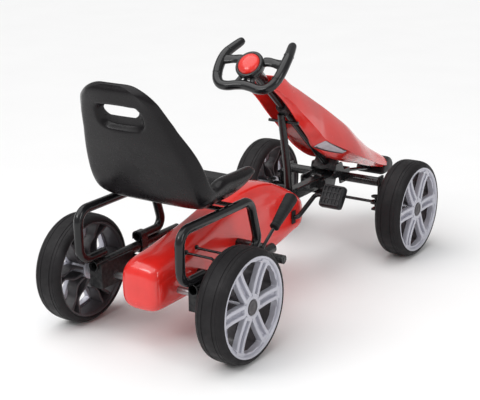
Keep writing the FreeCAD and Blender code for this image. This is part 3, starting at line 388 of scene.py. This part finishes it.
def set_camera():
    """Three-quarter view from behind on the right, from above seat height."""
    yaw, pitch, roll = 0.5847, 0.3033, -0.0118
    eye = at(1562.4, -1976.3, 1111.9)
    look = Vector((-math.sin(yaw) * math.cos(pitch), math.cos(yaw) * math.cos(pitch), -math.sin(pitch)))
    right = look.cross(Vector((0, 0, 1))).normalized()
    up = right.cross(look)
    across = right * math.cos(roll) + up * math.sin(roll)
    upright = up * math.cos(roll) - right * math.sin(roll)
    data = bpy.data.cameras.new("camera")
    data.sensor_width = 36
    data.lens = 89.1
    data.shift_x, data.shift_y = -0.0224, 0.0018
    camera = bpy.data.objects.new("camera", data)
    turn = Matrix((across, upright, -look)).transposed().to_4x4()
    camera.matrix_world = Matrix.Translation(eye) @ turn
    bpy.context.scene.collection.objects.link(camera)
    bpy.context.scene.camera = camera


def add_light(name, size, power, place, target):
    data = bpy.data.lights.new(name, "AREA")
    data.shape = "RECTANGLE"
    data.size, data.size_y = size
    data.energy = power
    light = bpy.data.objects.new(name, data)
    light.location = place
    light.rotation_euler = (Vector(target) - Vector(place)).to_track_quat("-Z", "Y").to_euler()
    bpy.context.scene.collection.objects.link(light)


def set_studio():
    world = bpy.data.worlds.new("studio")
    world.use_nodes = True
    world.node_tree.nodes["Background"].inputs["Color"].default_value = (1, 1, 1, 1)
    world.node_tree.nodes["Background"].inputs["Strength"].default_value = 0.42
    bpy.context.scene.world = world
    bpy.context.scene.view_settings.view_transform = "Standard"
    sun = bpy.data.lights.new("overhead", "SUN")
    sun.energy = 2.15
    sun.angle = math.radians(75)
    lamp = bpy.data.objects.new("overhead", sun)
    lamp.rotation_euler = Vector((0.28, 0.30, -1)).to_track_quat("-Z", "Y").to_euler()
    bpy.context.scene.collection.objects.link(lamp)
    add_light("side", (0.5, 1.6), 14, (2.4, -1.2, 1.5), (0, 0, 0.25))
    add_light("rear", (1.2, 0.5), 12, (-0.9, -2.3, 1.7), (0, 0, 0.3))
    material, tree, shader, place = new_material("floor")
    tone = stretch(tree, noise(tree, place, 3.0), 0.3, 0.7, 0, 1)
    pale = blend_colours(tree, tone, (0.885, 0.885, 0.885), (0.9, 0.9, 0.9))
    tree.links.new(pale, shader.inputs["Base Color"])
    shader.inputs["Roughness"].default_value = 0.9
    shader.inputs["Specular IOR Level"].default_value = 0.1
    mesh = bpy.data.meshes.new("floor")
    far = 40
    mesh.from_pydata([(-far, -far, 0), (far, -far, 0), (far, far, 0), (-far, far, 0)], [], [(0, 1, 2, 3)])
    mesh.materials.append(material)
    floor = bpy.data.objects.new("floor", mesh)
    floor.location.z = cad_box[0].z - 0.0003
    bpy.context.scene.collection.objects.link(floor)


set_camera()
set_studio()


# ---------------------------------------------------------------- wheels

TYRE_HALF = [
    (0, 130), (11.6, 129.9), (12.2, 128.7), (14.2, 128.7), (14.8, 129.7), (20, 129.2), (21, 128.2),
    (22.6, 128.0), (23.6, 128.5), (27, 127.4), (30, 125.8), (32.6, 123.6), (34.6, 121.0), (35.9, 118.4),
    (36.3, 117.4), (35.9, 116.9), (36.4, 116.2), (36.6, 115.2), (35.6, 114.1), (0, 114.1),
]
FRONT_BARREL = [
    (14, 113.6), (35.6, 113.6), (36.0, 112.4), (36.0, 110.2), (35.0, 108.6), (31.5, 107.0), (22, 106.4),
    (14, 106.4),
]
BACK_BARREL = [
    (-34.5, 113.6), (13.9, 113.6), (13.9, 106.6), (0, 107.0), (-20, 107.6), (-27, 108.2), (-28, 109.6),
    (-34.6, 109.8), (-35.6, 112.0),
]
HUB = [
    (-28, 8.2), (-28, 22.5), (-26.5, 24.0), (10, 25.6), (28.6, 26.4), (30.9, 25.2), (31.4, 23.6),
    (31.4, 19.4), (30.4, 18.2), (28.8, 18.0), (28.6, 8.2),
]
CAP = [
    (28.9, 0), (28.9, 16.9), (31.4, 17.4), (32.6, 16.8), (33.0, 15.4), (32.9, 13.6), (32.2, 13.0),
    (32.2, 7.2), (32.7, 6.4), (33.0, 0),
]
NUT = [(26, 0), (26, 3.0), (28.6, 3.0), (29.2, 2.4), (29.2, 1.5), (27.4, 1.2), (27.4, 0)]
# Stations outwards along a spoke pair: radius, half angle of the solid, ridge height, channel depth, back.
SPOKE_STATIONS = [
    (19.5, 30, 29.5, 0.0, 12), (24, 30, 30.6, 0.0, 13), (28, 30, 30.8, 0.0, 14),
    (30.4, 29.4, 30.6, 0.4, 15), (31.6, 27.6, 30.5, 5.4, 15.5), (33, 26.4, 30.4, 8.6, 16),
    (36, 24.6, 30.2, 9.4, 16), (40, 22.0, 29.9, 9.6, 16), (45, 19.5, 29.5, 9.6, 16),
    (53, 16.5, 29.0, 9.6, 16), (63, 13.8, 28.7, 9.6, 16), (73, 11.9, 28.7, 9.6, 16),
    (82, 10.6, 29.1, 9.6, 16), (90, 9.7, 29.9, 9.4, 16), (95.5, 9.2, 30.7, 9.0, 16),
    (98.4, 9.3, 31.2, 7.6, 16), (99.8, 10.2, 31.5, 2.6, 16), (101.0, 13.0, 31.8, 0.6, 16),
    (102.0, 18.6, 32.1, 0.2, 16), (102.8, 30, 32.4, 0, 16), (105, 30, 32.8, 0, 17),
    (108.5, 30, 33.0, 0, 18),
]


def spoke_face(shape):
    """Six pairs of ridged spokes, each pair joined by a sunken channel, with open windows between pairs."""
    sections = []
    for radius, spread, top, sunk, back in SPOKE_STATIONS:
        edge = radius * math.sin(math.radians(spread))
        full = spread >= 30
        ridge = min(15.2, edge - 1.2) if full else edge
        rim = min(1.6, ridge * 0.1)
        step = 3.4 if full else 3.0
        half = [(0, top - sunk), (4.2, top - sunk), (5.4, top - sunk * 0.9), (5.9, top - sunk * 0.1 - 0.2),
                (6.8, top), (ridge - rim * 1.6, top), (ridge - rim * 0.5, top - 0.7),
                (ridge, top - step * 0.8), (edge, top - step)]
        under = [(edge, back), (ridge - 2.2, back - 1), (8, back - 2.5), (4, back - 4.5), (0, back - 5)]
        sections.append((radius, full, half, under))

    def spot(radius, across, height, turn):
        spread = math.asin(max(-1, min(1, across / radius))) + turn
        return Vector((height, radius * math.cos(spread), radius * math.sin(spread)))

    for k in range(6):
        turn = k * math.pi / 3
        for low, high in zip(sections, sections[1:]):
            for part in (2, 3):
                for sign in (-1, 1):
                    rows = [[spot(s[0], a * sign, h, turn) for a, h in s[part]] for s in (low, high)]
                    shape.skin(rows)
            if not (low[1] and high[1]):
                for sign in (-1, 1):
                    shape.skin([[spot(s[0], s[part][end][0] * sign, s[part][end][1], turn)
                                 for part, end in ((2, -1), (3, 0))] for s in (low, high)])


def wheel(label, sign, body):
    place = place_at(middle(f"tyre_{label}"), turned=sign < 0)
    tyre = Shape().lathe(TYRE_HALF + [(-x, r) for x, r in reversed(TYRE_HALF[1:-1])], 144)
    build(f"foam_tyre_{label}", tyre, body, "tyre_foam", [f"tyre_{label}"], place, sharp=30)
    face = Shape()
    spoke_face(face)
    build(f"spoke_face_{label}", face, body, "rim_silver", [f"rim_{label}"], place, sharp=32)
    build(f"rim_barrel_{label}", Shape().lathe(FRONT_BARREL, 144), body, "rim_silver", (), place, sharp=40)
    # The inboard half of the barrel and the wavy ribs behind the spoke pairs are in the dark finish. The wheel's
    # back is dark moulded plastic, and the barrel's inside is also darkened as painted shade for the shaded barrel
    # seen through the windows.
    back = Shape().lathe(BACK_BARREL, 144)
    for k in range(12):
        turn = k // 2 * math.pi / 3
        lean = 1 if k % 2 else -1
        rows = []
        for i in range(25):
            radius = mix(23, 107.4, i / 24)
            across = lean * (9.5 + 4.2 * math.sin((radius - 30) * 2 * math.pi / 62))
            half = 2.2 + 1.2 * ease(0, 1, abs(i / 12 - 1))
            low = mix(-24, -14, math.sin(math.pi * i / 24))
            corners = ((across - half, 13), (across - half, low + 1), (across - half * 0.5, low),
                       (across + half * 0.5, low), (across + half, low + 1), (across + half, 13))
            rows.append([Vector((x, radius * math.cos(turn) - a * math.sin(turn),
                                 radius * math.sin(turn) + a * math.cos(turn))) for a, x in corners])
        back.skin(rows, round_rows=True, capped=True)
    build(f"rim_back_{label}", back, body, "cap_black", (), place, sharp=40)
    hub = Shape().lathe(HUB, 64)
    for k in range(6):
        turn = math.radians(30 + 60 * k)
        spot = (0, 29.6 * math.cos(turn), 29.6 * math.sin(turn))
        hub.lathe(NUT, 16, spot)
    build(f"hub_ring_{label}", hub, body, "rim_silver", (), place, sharp=34)
    cap = Shape().lathe(CAP, 64)
    build(f"cap_disc_{label}", cap, body, "cap_black", [f"hub_cap_{label}"], place, sharp=34)


for label, sign, body in (("rear_right", 1, "rear_axle"), ("rear_left", -1, "rear_left_wheel"),
                          ("front_right", 1, "front_right_wheel"), ("front_left", -1, "front_left_wheel")):
    wheel(label, sign, body)


# ---------------------------------------------------------------- seat

# Stations from the front of the pan, back, and up: place of the under or back skin (y, z), lean of the
# section, half width where the side starts to rise, half width at the lip, side depth, thickness of the
# double wall, roll of the lip, and how far the edges come forward of the middle.
SEAT = [
    (183.0, 350, 0, 84, 138, 24, 8, 10, 0), (180.0, 344, 0, 96, 149, 40, 11, 16, 0),
    (172.0, 337, -2, 103, 154, 52, 12, 21, 0), (160.0, 331, -2, 107, 157, 59, 12, 24, 0),
    (143.0, 326, -2, 111, 159, 64, 12, 25, 0), (122.0, 322.5, -2, 113, 160, 68, 12, 25, 0),
    (98.0, 320.8, -2, 115, 160, 70, 12, 25, 0), (70.0, 320.8, 2, 116, 160, 71, 12, 24, 0),
    (40.0, 320.8, 8, 117, 160, 71, 12, 22, 0), (14.0, 321.8, 20, 120, 158, 67, 12, 20, 0),
    (-10.0, 328, 36, 129, 157, 60, 12, 18, 1), (-28.0, 343, 50, 139, 157, 53, 12, 15, 2),
    (-38.0, 361, 60, 142, 157, 48, 12, 13, 2), (-47.0, 382, 66, 143, 157, 44, 12, 12, 2),
    (-54.5, 402, 68, 142, 156.5, 42, 12, 12, 3), (-66.0, 430, 68, 136, 152.5, 40, 12, 12, 3),
    (-77.0, 454, 68, 129, 147, 38, 13, 12, 4), (-87.5, 476, 67.5, 121, 140, 35, 15, 12, 5),
]
BACK_SLOPE = -0.391
# Higher up the back: z, half width at the lip, side depth, thickness, lip roll.
BACK = [
    (492, 134.0, 32, 17, 12), (500, 131.5, 30, 18, 12), (505, 130.0, 29, 19, 12),
    (510, 128.5, 28, 19, 12), (515, 127.0, 27.5, 19, 12), (520, 125.5, 27, 19, 12),
    (526, 123.5, 26, 19, 12), (531, 121.5, 25, 19, 12), (535, 120.0, 24.5, 19, 12),
    (541, 117.5, 24, 19, 12), (548, 114.8, 23, 19, 11), (555, 112.0, 22, 19, 11),
    (561, 109.6, 21.5, 19, 11), (566, 107.4, 21, 19, 11), (571, 104.8, 20.5, 19, 11),
    (576, 101.4, 20, 19, 11), (582, 95.8, 20, 19, 11), (588, 89.0, 20, 19.5, 11),
    (594, 81.0, 20, 19.5, 10), (600, 71.0, 19, 18.5, 9), (604.6, 60.0, 16, 15.5, 7),
    (608, 47.0, 12.5, 12, 5), (610.2, 32.0, 9, 8.6, 3.4), (611, 15.0, 6, 5.8, 2),
]
SEAT_COLUMNS = [0, 10, 20, 30, 38, 43, 46, 52, 58, 63, 69]
SLOT_LOW, SLOT_HIGH, SLOT_COLUMN = 535, 561, 6


def seat_rows():
    """Every station with the same fields, the back's stations following the pan's."""
    rows = [list(row) for row in SEAT]
    for height, lip, depth, wall, roll in BACK:
        bow = 6 * (1 - ease(560, 606, height))
        tuck = 9 * ease(598, 613, height)
        ahead = -94 + (height - 492) * BACK_SLOPE + tuck
        rows.append([ahead, height + tuck * 0.42, 67, lip * 0.88 - 1, lip, depth, wall, roll, bow])
    return rows


def hollow(height, across):
    """Depth of the back skin under a plain one, for the hand recess."""
    rise = (height - 541) / (25 if height > 541 else 31)
    reach = ((abs(across) / 61) ** 3.4 + abs(rise) ** 3.4) ** (1 / 3.4)
    return 15 * (1 - ease(0.86, 1.06, reach))


def seat_ring(row):
    """Right half of a station: the outer skin from the middle, over the lip, then the inner skin."""
    y, z, lean, base, lip, depth, wall, roll, bow = row
    tilt = math.radians(lean)
    fit = min(1.0, (base - 4) / SEAT_COLUMNS[-1])
    from_slot = abs(z - (SLOT_LOW + SLOT_HIGH) / 2)
    pinch = 0.26 * ease(5, 13, from_slot) * (1 - ease(13.5, 19, from_slot)) if lean > 60 else 0
    columns = [t * fit * (1 - pinch * (1 - ease(46, 63, t))) for t in SEAT_COLUMNS]
    crown = bow / (base * base)
    side = lip - base
    sunk = [hollow(z, t) if lean > 60 else 0 for t in columns]
    outer = [(t, crown * t * t + h) for t, h in zip(columns, sunk)]
    inner = [(t, crown * t * t * 0.8 + wall - 0.25 * h) for t, h in zip(columns, sunk)]
    wide = columns[-1]
    turn = [(mix(wide, base, 0.55), bow * 0.72), (base + side * 0.05, bow + depth * 0.04),
            (base + side * 0.42, bow + depth * 0.2), (base + side * 0.76, bow + depth * 0.44),
            (lip - side * 0.04, depth * 0.7 + bow * 0.4), (lip, max(depth - roll * 0.55, depth * 0.8)),
            (lip - roll * 0.24, depth - roll * 0.14), (lip - roll * 0.8, depth),
            (lip - roll * 1.4, depth - roll * 0.22), (lip - roll * 1.85, depth - roll * 0.75),
            (mix(base, lip - roll * 1.9, 0.42), mix(wall + bow * 0.6, depth - roll, 0.34)),
            (mix(wide, base, 0.45), bow * 0.62 + wall + depth * 0.03)]
    half = outer + turn + inner[::-1]
    return [Vector((t, y + d * math.sin(tilt), z + d * math.cos(tilt))) for t, d in half]


def make_seat():
    """One closed skin over the stations, with the hand slot cut through the back."""
    rows = seat_rows()
    rings = [seat_ring(row) for row in rows]
    count = len(rings[0])
    size = count * 2 - 2
    points = []
    for ring in rings:
        points += ring + [Vector((-p.x, p.y, p.z)) for p in ring[1:-1]]
    gaps = [SLOT_COLUMN if SLOT_LOW <= low[1] and high[1] <= SLOT_HIGH else 0
            for low, high in zip(rows, rows[1:])]
    faces = []

    def cover(corners):
        """The same face on both halves; points on the middle line belong to both."""
        for sign in (1, -1):
            face = []
            for row, column in corners:
                shared = sign > 0 or column in (0, count - 1)
                face.append(row * size + (column if shared else count - 1 + column))
            faces.append(list(dict.fromkeys(face)))

    def close(row, first, last):
        """Joins the outer skin to the inner one along a row, from one column to another."""
        for j in range(first, last):
            cover([(row, j), (row, j + 1), (row, count - 2 - j), (row, count - 1 - j)])

    for i, gap in enumerate(gaps):
        for j in range(gap, count - 1 - gap):
            cover([(i, j), (i, j + 1), (i + 1, j + 1), (i + 1, j)])
        if gap:
            cover([(i, gap), (i + 1, gap), (i + 1, count - 1 - gap), (i, count - 1 - gap)])
    for i, (below, above) in enumerate(zip(gaps, gaps[1:]), 1):
        close(i, min(below, above), max(below, above))
    for i in (0, len(rows) - 1):
        close(i, 0, (count - 1) // 2)
    shape = Shape().add(points, faces)
    build("moulded_seat", shape, "seat", "seat_plastic", ["seat_shell"], sharp=70, levels=2)


make_seat()


# ---------------------------------------------------------------- hood, nose and lights

# ahead, height, lean, half widths at ridge, crease and edge, rise above and drop below the crease
HOOD = [
    (431, 508, 76, 27, 46, 40, 64, 5), (487, 471, 50, 29, 52, 40, 50, 11),
    (527, 436, 46, 30, 57, 40, 60, 14), (570, 399.6, 42, 30, 61, 37, 70, 18),
    (616, 361, 36, 30, 64, 33, 80, 20), (648, 333, 30, 31, 67, 30, 88, 25),
    (733, 290.6, 20, 32, 74, 36, 82, 31), (812, 253, 10, 34, 78, 38, 75, 21),
    (871.5, 229, 5, 34, 75, 34, 59, 17), (940, 201, 8, 34, 66, 36, 41, 12),
    (1028, 172, 33, 34, 52, 40, 24, 8),
]
HOOD_STEPS = 6
HOOD_ROWS = flowing(HOOD, HOOD_STEPS)


def hood_half(row):
    """Right half of a hood section from the ridge's middle down to the lower edge."""
    _, _, _, ridge, crease, edge, rise, drop = row
    flank = [(mix(ridge, crease, s) + 3.2 * math.sin(math.pi * s),
              mix(rise, 0, s) + 1.6 * math.sin(math.pi * s))
             for s in (0.12, 0.3, 0.5, 0.7, 0.86, 0.95)]
    return ([(0, rise + 1.6), (ridge * 0.45, rise + 1.3), (ridge * 0.8, rise + 0.4),
             (ridge * 0.96, rise - 0.9)]
            + flank + [(crease, 0), (crease - 1.6, -1.6)]
            + [(mix(crease, edge, s) - 2.0 * math.sin(math.pi * s), mix(0, -drop, s))
               for s in (0.2, 0.5, 0.8)]
            + [(edge, -drop)])


def hood_point(row, across, climb, sign=1):
    turn = math.radians(row[2])
    return Vector((across * sign, row[0] + climb * math.sin(turn), row[1] + climb * math.cos(turn)))


def make_hood():
    rows = []
    for row in HOOD_ROWS:
        half = hood_half(row)
        rows.append([hood_point(row, a, c, -1) for a, c in reversed(half)]
                    + [hood_point(row, a, c) for a, c in half[1:]])
    build("hood_shell", Shape().skin(rows), "root", "red_plastic", ["hood"], sharp=24, wall=2.6)


def panel_patch(first, last, low, high, proud):
    """A strip of the side panel under the crease, between two rows and two shares of its depth."""
    rows = []
    for i in range(first, last + 1):
        row = HOOD_ROWS[i]
        share = (i - first) / (last - first)
        slant = math.hypot(row[4] - row[5], row[7])
        line = []
        for k in range(7):
            s = mix(mix(high[0], high[1], share), mix(low[0], low[1], share), k / 6)
            fade = min(1.0, share * 8, (1 - share) * 8, min(k, 6 - k) * 1.5)
            lift = proud * mix(0.3, 1, fade)
            line.append((mix(row[4], row[5], s) - 2.0 * math.sin(math.pi * s) + lift * row[7] / slant,
                         mix(0, -row[7], s) - lift * (row[4] - row[5]) / slant))
        rows.append((row, line))
    return rows


def make_headlights():
    """Slanting lenses let into the side panels, each in a dark surround."""
    start = 5 * HOOD_STEPS
    stop = 6 * HOOD_STEPS + 1
    for name, finish, low, high, proud, covers in (
            ("headlight_surround", "nose_black", (0.98, 0.36), (0.04, 0.04), 1.4, ()),
            ("headlight_lens", "lens_grey", (0.86, 0.30), (0.09, 0.09), 2.6, ("headlights",))):
        shape = Shape()
        for sign in (1, -1):
            skin = panel_patch(start, stop, low, high, proud)
            outer = [[hood_point(row, a, c, sign) for a, c in line] for row, line in skin]
            under = [[hood_point(row, a - 1.5, c + 1.5, sign) for a, c in line] for row, line in skin]
            loops = [front + back[::-1] for front, back in zip(outer, under)]
            shape.skin(loops, round_rows=True, capped=True)
        build(name, shape, "root", finish, covers, sharp=40)


def make_nose():
    """Rounded bumper block with level ribs across its front."""
    base = [(1016, 150), (1021, 160), (1030, 175), (1038, 186), (1045, 191), (1056, 190), (1068, 185),
            (1075, 179), (1080, 172), (1083, 164), (1082, 156), (1079, 149), (1073, 145), (1050, 143),
            (1026, 142), (1018, 144)]
    ring = flowing(base + [base[0]], 6)[:-1]
    centre = (1050, 166)
    rows = []
    for across, shrink in ((-46, 0.72), (-45.2, 0.84), (-42, 0.94), (-36, 1.0), (-34, 1.0), (-12, 1.0),
                           (12, 1.0), (34, 1.0), (36, 1.0), (42, 0.94), (45.2, 0.84), (46, 0.72)):
        row = []
        for y, z in ring:
            ribbed = abs(across) < 35 and y > 1066 and 147 < z < 186
            cut = 2.6 * ease(-0.2, 0.5, math.sin((z - 146) * 2 * math.pi / 9.0)) if ribbed else 0
            row.append(Vector((across, mix(centre[0], y, shrink) - cut, mix(centre[1], z, shrink))))
        rows.append(row)
    shape = Shape().skin(rows, round_rows=True, capped=True)
    build("nose_block", shape, "root", "nose_black", ["nose_bumper"], sharp=36)


make_hood()
make_headlights()
make_nose()


# ---------------------------------------------------------------- chain case

# ahead, bottom, top, half width of the narrow part of the case
CASE = [
    (-74, 118, 160, 22), (-72.5, 106, 175, 36), (-68, 96, 187, 46), (-61, 90.5, 196, 51),
    (-49, 87, 203, 54), (-30, 86, 208, 55), (0, 86, 211.5, 55), (20, 86, 214, 54.5),
    (60, 86, 221, 53.5), (100, 86, 229, 53), (140, 86, 237, 52.5), (180, 86, 247, 52),
    (230, 86, 260, 52), (270, 86, 270, 52), (300, 86, 275.5, 52), (340, 86, 277, 52),
    (380, 86.5, 275.5, 52), (420, 88, 269, 52), (450, 91, 259, 52), (490, 99, 240, 51.5),
    (520, 107, 224, 50.5), (545, 112, 208, 48), (560, 117, 196, 44), (568, 123, 186, 38),
    (572, 134, 172, 26),
]
BULGE = [
    (-67, 114, 154, 30), (-65.5, 102, 168, 44), (-61, 95, 178, 52), (-51, 92, 185, 56.5),
    (-30, 91, 189, 58.5), (0, 91, 189, 58.5), (30, 92, 186, 58), (50, 96, 178, 57), (62, 104, 164, 55),
    (70, 118, 150, 50),
]
SECTION_STEPS = 26


def swoosh(y, z):
    """How far the side is let in: two lines sweep up towards the front, with a proud band between."""
    high = mix(150, 236, ease(40, 430, y) * 0.55 + max(0, min(1, (y - 40) / 390)) * 0.45)
    low = mix(112, 196, max(0, min(1, (y - 90) / 420)) ** 1.25)
    present = ease(60, 120, y) * (1 - ease(500, 552, y))
    return present * (4.6 * ease(-3, 3, z - high) + 3.0 * (1 - ease(-3, 3, z - low)))


def case_side(row, sign, squareness, carved):
    """One half of a case section, from the top seam round to the bottom seam."""
    y, low, high, wide = row
    centre, tall = (low + high) / 2, (high - low) / 2
    line = []
    for k in range(SECTION_STEPS + 1):
        turn = math.pi * k / SECTION_STEPS
        across = wide * abs(math.sin(turn)) ** squareness
        lift = math.copysign(abs(math.cos(turn)) ** squareness, math.cos(turn)) * tall
        z = centre + lift
        let_in = swoosh(y, z) * ease(0.55, 0.95, across / wide) if carved else 0
        line.append(Vector(((max(across - let_in, 0) + 0.15) * sign, y, z)))
    return line


def make_case():
    for side, sign in SIDES.items():
        shape = Shape()
        for table, squareness, carved in ((CASE, 0.5, True), (BULGE, 0.58, False)):
            rows = [case_side(row, sign, squareness + 0.1 * (1 - ease(-40, 160, row[0])), carved)
                    for row in flowing(table, 4)]
            for end in (0, -1):
                spot = Vector((0.15 * sign, rows[end][0].y, (rows[end][0].z + rows[end][-1].z) / 2))
                closing = [spot] * len(rows[end])
                rows.insert(0 if end == 0 else len(rows), closing)
            shape.skin(rows)
        build(f"case_shell_{side}", shape, "root", "red_plastic", [f"chain_case_{side}"], sharp=30)
    # Thin black plates on both sides of the case where the crank leaves it: painted shade, a dark sheet standing
    # for the shadowed opening of the crank's slot.
    slot = Shape()
    for sign in (1, -1):
        slot.brick((51.2 * sign, 496, 141), (52.8 * sign, 514, 176))
    build("crank_slot_painted_shade", slot, "root", "housing_black", (), bevel=0.5)


make_case()


# ---------------------------------------------------------------- steering wheel

def make_steering_wheel():
    """Open-topped rim with two horns, broad side spokes, a split lower spoke and a ringed boss."""
    half = [(-72, 86, -25, 8.0), (-74, 81, -23, 10.6), (-77, 72, -19.5, 11.6), (-83, 54, -12, 12.2),
            (-88, 36, -5, 12.7), (-90, 18, -1, 13), (-90, -2, 0, 13), (-87, -24, 0, 12.8),
            (-79, -44, 0, 12.4), (-64, -57, 0, 12.2), (-44, -59, 0, 12.2), (-22, -54.5, 0, 12.2)]
    centre = [(0, -52, 0, 12.3)]
    line = flowing(half + centre + [(-x, y, z, r) for x, y, z, r in reversed(half)], 5)
    shape = Shape().sweep([p[:3] for p in line], [p[3] for p in line], 24, flat=0.92)
    for sign in (1, -1):
        arm = flowing([(31 * sign, 16, -1, 13.5), (42 * sign, 18, -1, 12.5), (58 * sign, 17, -2, 11.5),
                       (74 * sign, 14, -1, 13), (88 * sign, 12, 0, 15)], 4)
        shape.sweep([p[:3] for p in arm], [p[3] for p in arm], 18, flat=0.52)
        leg = flowing([(16 * sign, -28, -1, 7.2), (18 * sign, -34, -1, 6.5), (22 * sign, -44, -1, 7),
                       (28 * sign, -55, 0, 9)], 4)
        shape.sweep([p[:3] for p in leg], [p[3] for p in leg], 14, flat=0.7)
    web = flowing([(0, -31.5, -1, 5.5), (0, -37, -1, 4.2), (0, -52, 0, 8)], 5)
    shape.sweep([p[:3] for p in web], [p[3] for p in web], 14, flat=1.1)
    boss = [(-72, 10.2), (-72, 14.6), (-70, 15.8), (-30, 16), (-22, 19), (-13, 30), (-6, 35.6),
            (6, 37), (11, 36.6), (13.4, 34.6), (14.2, 32.2), (13.6, 29.8), (12, 29.2), (2.2, 29.1),
            (2.0, 10.2)]
    shape.lathe(boss, 72, axis="Z")
    build("steering_yoke", shape, "steering", "wheel_black", ["steering_wheel"], COLUMN_PLACE, sharp=42)
    ring = [(6.6, 0), (6.6, 28.1), (13, 28.4), (15.4, 27.6), (17.6, 25.4), (20.0, 21.5), (22.2, 16), (23.7, 9),
            (24.3, 0)]
    dome = Shape().lathe(ring, 72, axis="Z")
    build("horn_dome", dome, "horn_button", "horn_red", ["horn_button"], COLUMN_PLACE, sharp=46)
    seams = Shape()
    for sign in (1, -1):
        for climb in (44, -30):
            spot = min(line, key=lambda p: abs(p[1] - climb) + (200 if p[0] * sign < 0 else 0))
            seams.lathe([(-1.4, 0), (-1.4, spot[3] + 0.15), (-0.9, spot[3] + 0.5), (0.9, spot[3] + 0.5),
                         (1.4, spot[3] + 0.15), (1.4, 0)], 28, spot[:3], axis="Y")
    build("grip_bands", seams, "steering", "wheel_black", (), COLUMN_PLACE)


make_steering_wheel()


# ---------------------------------------------------------------- pedals and brake grip

PEDAL_DEEP, PEDAL_THICK, PEDAL_TILT = 31.0, 14.0, 55


def make_pedals():
    """Rounded blocks, tilted back, with a sunken grid of ribs on both treads."""
    for side in SIDES:
        joint = next(j for j in frame["joints"] if j["name"] == f"pedal_{side}_spin")
        place = Matrix.Translation(Vector(joint["pos_m"])) @ Matrix.Rotation(math.radians(PEDAL_TILT), 4, "X")
        shape = Shape()
        outline = []
        for k in range(40):
            turn = 2 * math.pi * k / 40
            outline.append((PEDAL_DEEP * math.copysign(abs(math.cos(turn)) ** 0.42, math.cos(turn)),
                            PEDAL_THICK * math.copysign(abs(math.sin(turn)) ** 0.5, math.sin(turn))))
        rows = []
        for x, shrink in ((-31, 0.78), (-30.4, 0.86), (-28.6, 0.94), (-25, 1), (0, 1), (25, 1), (28.6, 0.94),
                          (30.4, 0.86), (31, 0.78)):
            rows.append([(x, y * mix(shrink, 1, 0.35), z * shrink * 0.82) for y, z in outline])
        shape.skin(rows, round_rows=True, capped=True)
        build(f"pedal_block_{side}", shape, f"pedal_{side}", "pedal_black", [f"pedal_{side}"], place, sharp=40)
        ribs = Shape()
        for face in (1, -1):
            top, foot = face * PEDAL_THICK, face * 9.5
            for x in (-25.5, -15.5, -5.3, 5.3, 15.5, 25.5):
                ribs.brick((x - 1.5, -25, foot), (x + 1.5, 25, top * 0.97))
            for y in (-25, -8.5, 8.5, 25):
                ribs.brick((-27, y - 1.7, foot), (27, y + 1.7, top))
        build(f"pedal_ribs_{side}", ribs, f"pedal_{side}", "pedal_black", (), place, bevel=0.6)


def make_grip():
    """Tapered rubber handle, wider and squarer towards its top, with raised bands."""
    joint = next(j for j in frame["joints"] if j["name"] == "brake_pull")
    run = Vector((0, 129, 88)).normalized()
    over = Vector((1, 0, 0)).cross(run)
    start = Vector(joint["pos_m"]) / MM + Vector((0, 5, 31)) + Vector((0, 129, 88)) * 0.4
    table = [(-6, 8.5), (-5.4, 11), (-4, 12.2), (1, 12.4), (2.4, 11.2), (4, 11.4), (12, 11.9),
             (20, 12.3), (28, 12.7), (36, 13.1), (44, 13.4), (52, 13.8), (60, 14.1), (68, 14.5),
             (78, 14.9), (86, 15.2), (89, 15.0), (91, 13.6), (92, 11)]
    rows = []
    for along, radius in flowing(table, 3):
        band = 0.55 * ease(0.3, 0.7, math.sin(along * 2 * math.pi / 8.0)) if 8 < along < 82 else 0
        square = mix(1.0, 0.72, ease(0, 60, along))
        row = []
        for k in range(36):
            turn = 2 * math.pi * k / 36
            a = math.copysign(abs(math.cos(turn)) ** square, math.cos(turn))
            b = math.copysign(abs(math.sin(turn)) ** square, math.sin(turn))
            row.append(start + run * along + Vector((1, 0, 0)) * (a * (radius - 0.6 + band))
                       + over * (b * (radius - 0.6 + band)))
        rows.append(row)
    shape = Shape().skin(rows, round_rows=True, capped=True)
    centred = place_at(Vector((0, 0, 0)))
    build("brake_handle_grip", shape, "brake_lever", "grip_rubber", ["brake_grip"], centred, sharp=50)


make_pedals()
make_grip()


# ---------------------------------------------------------------- softened edges on the metalwork

for node, width in (("bearing_housing_left", 3), ("bearing_housing_right", 3), ("brake_bracket", 0.8),
                    ("front_bracket", 1.0), ("kingpin_yoke_left", 1.0), ("kingpin_yoke_right", 1.0),
                    ("column_lower_bush", 1.2), ("seat_clamps", 0.6), ("housing_bolts", 0.7)):
    edge = frame["nodes"][node].modifiers.new("edge", "BEVEL")
    edge.width = width * MM
    edge.segments = 2
    edge.limit_method = "ANGLE"
    edge.angle_limit = math.radians(50)
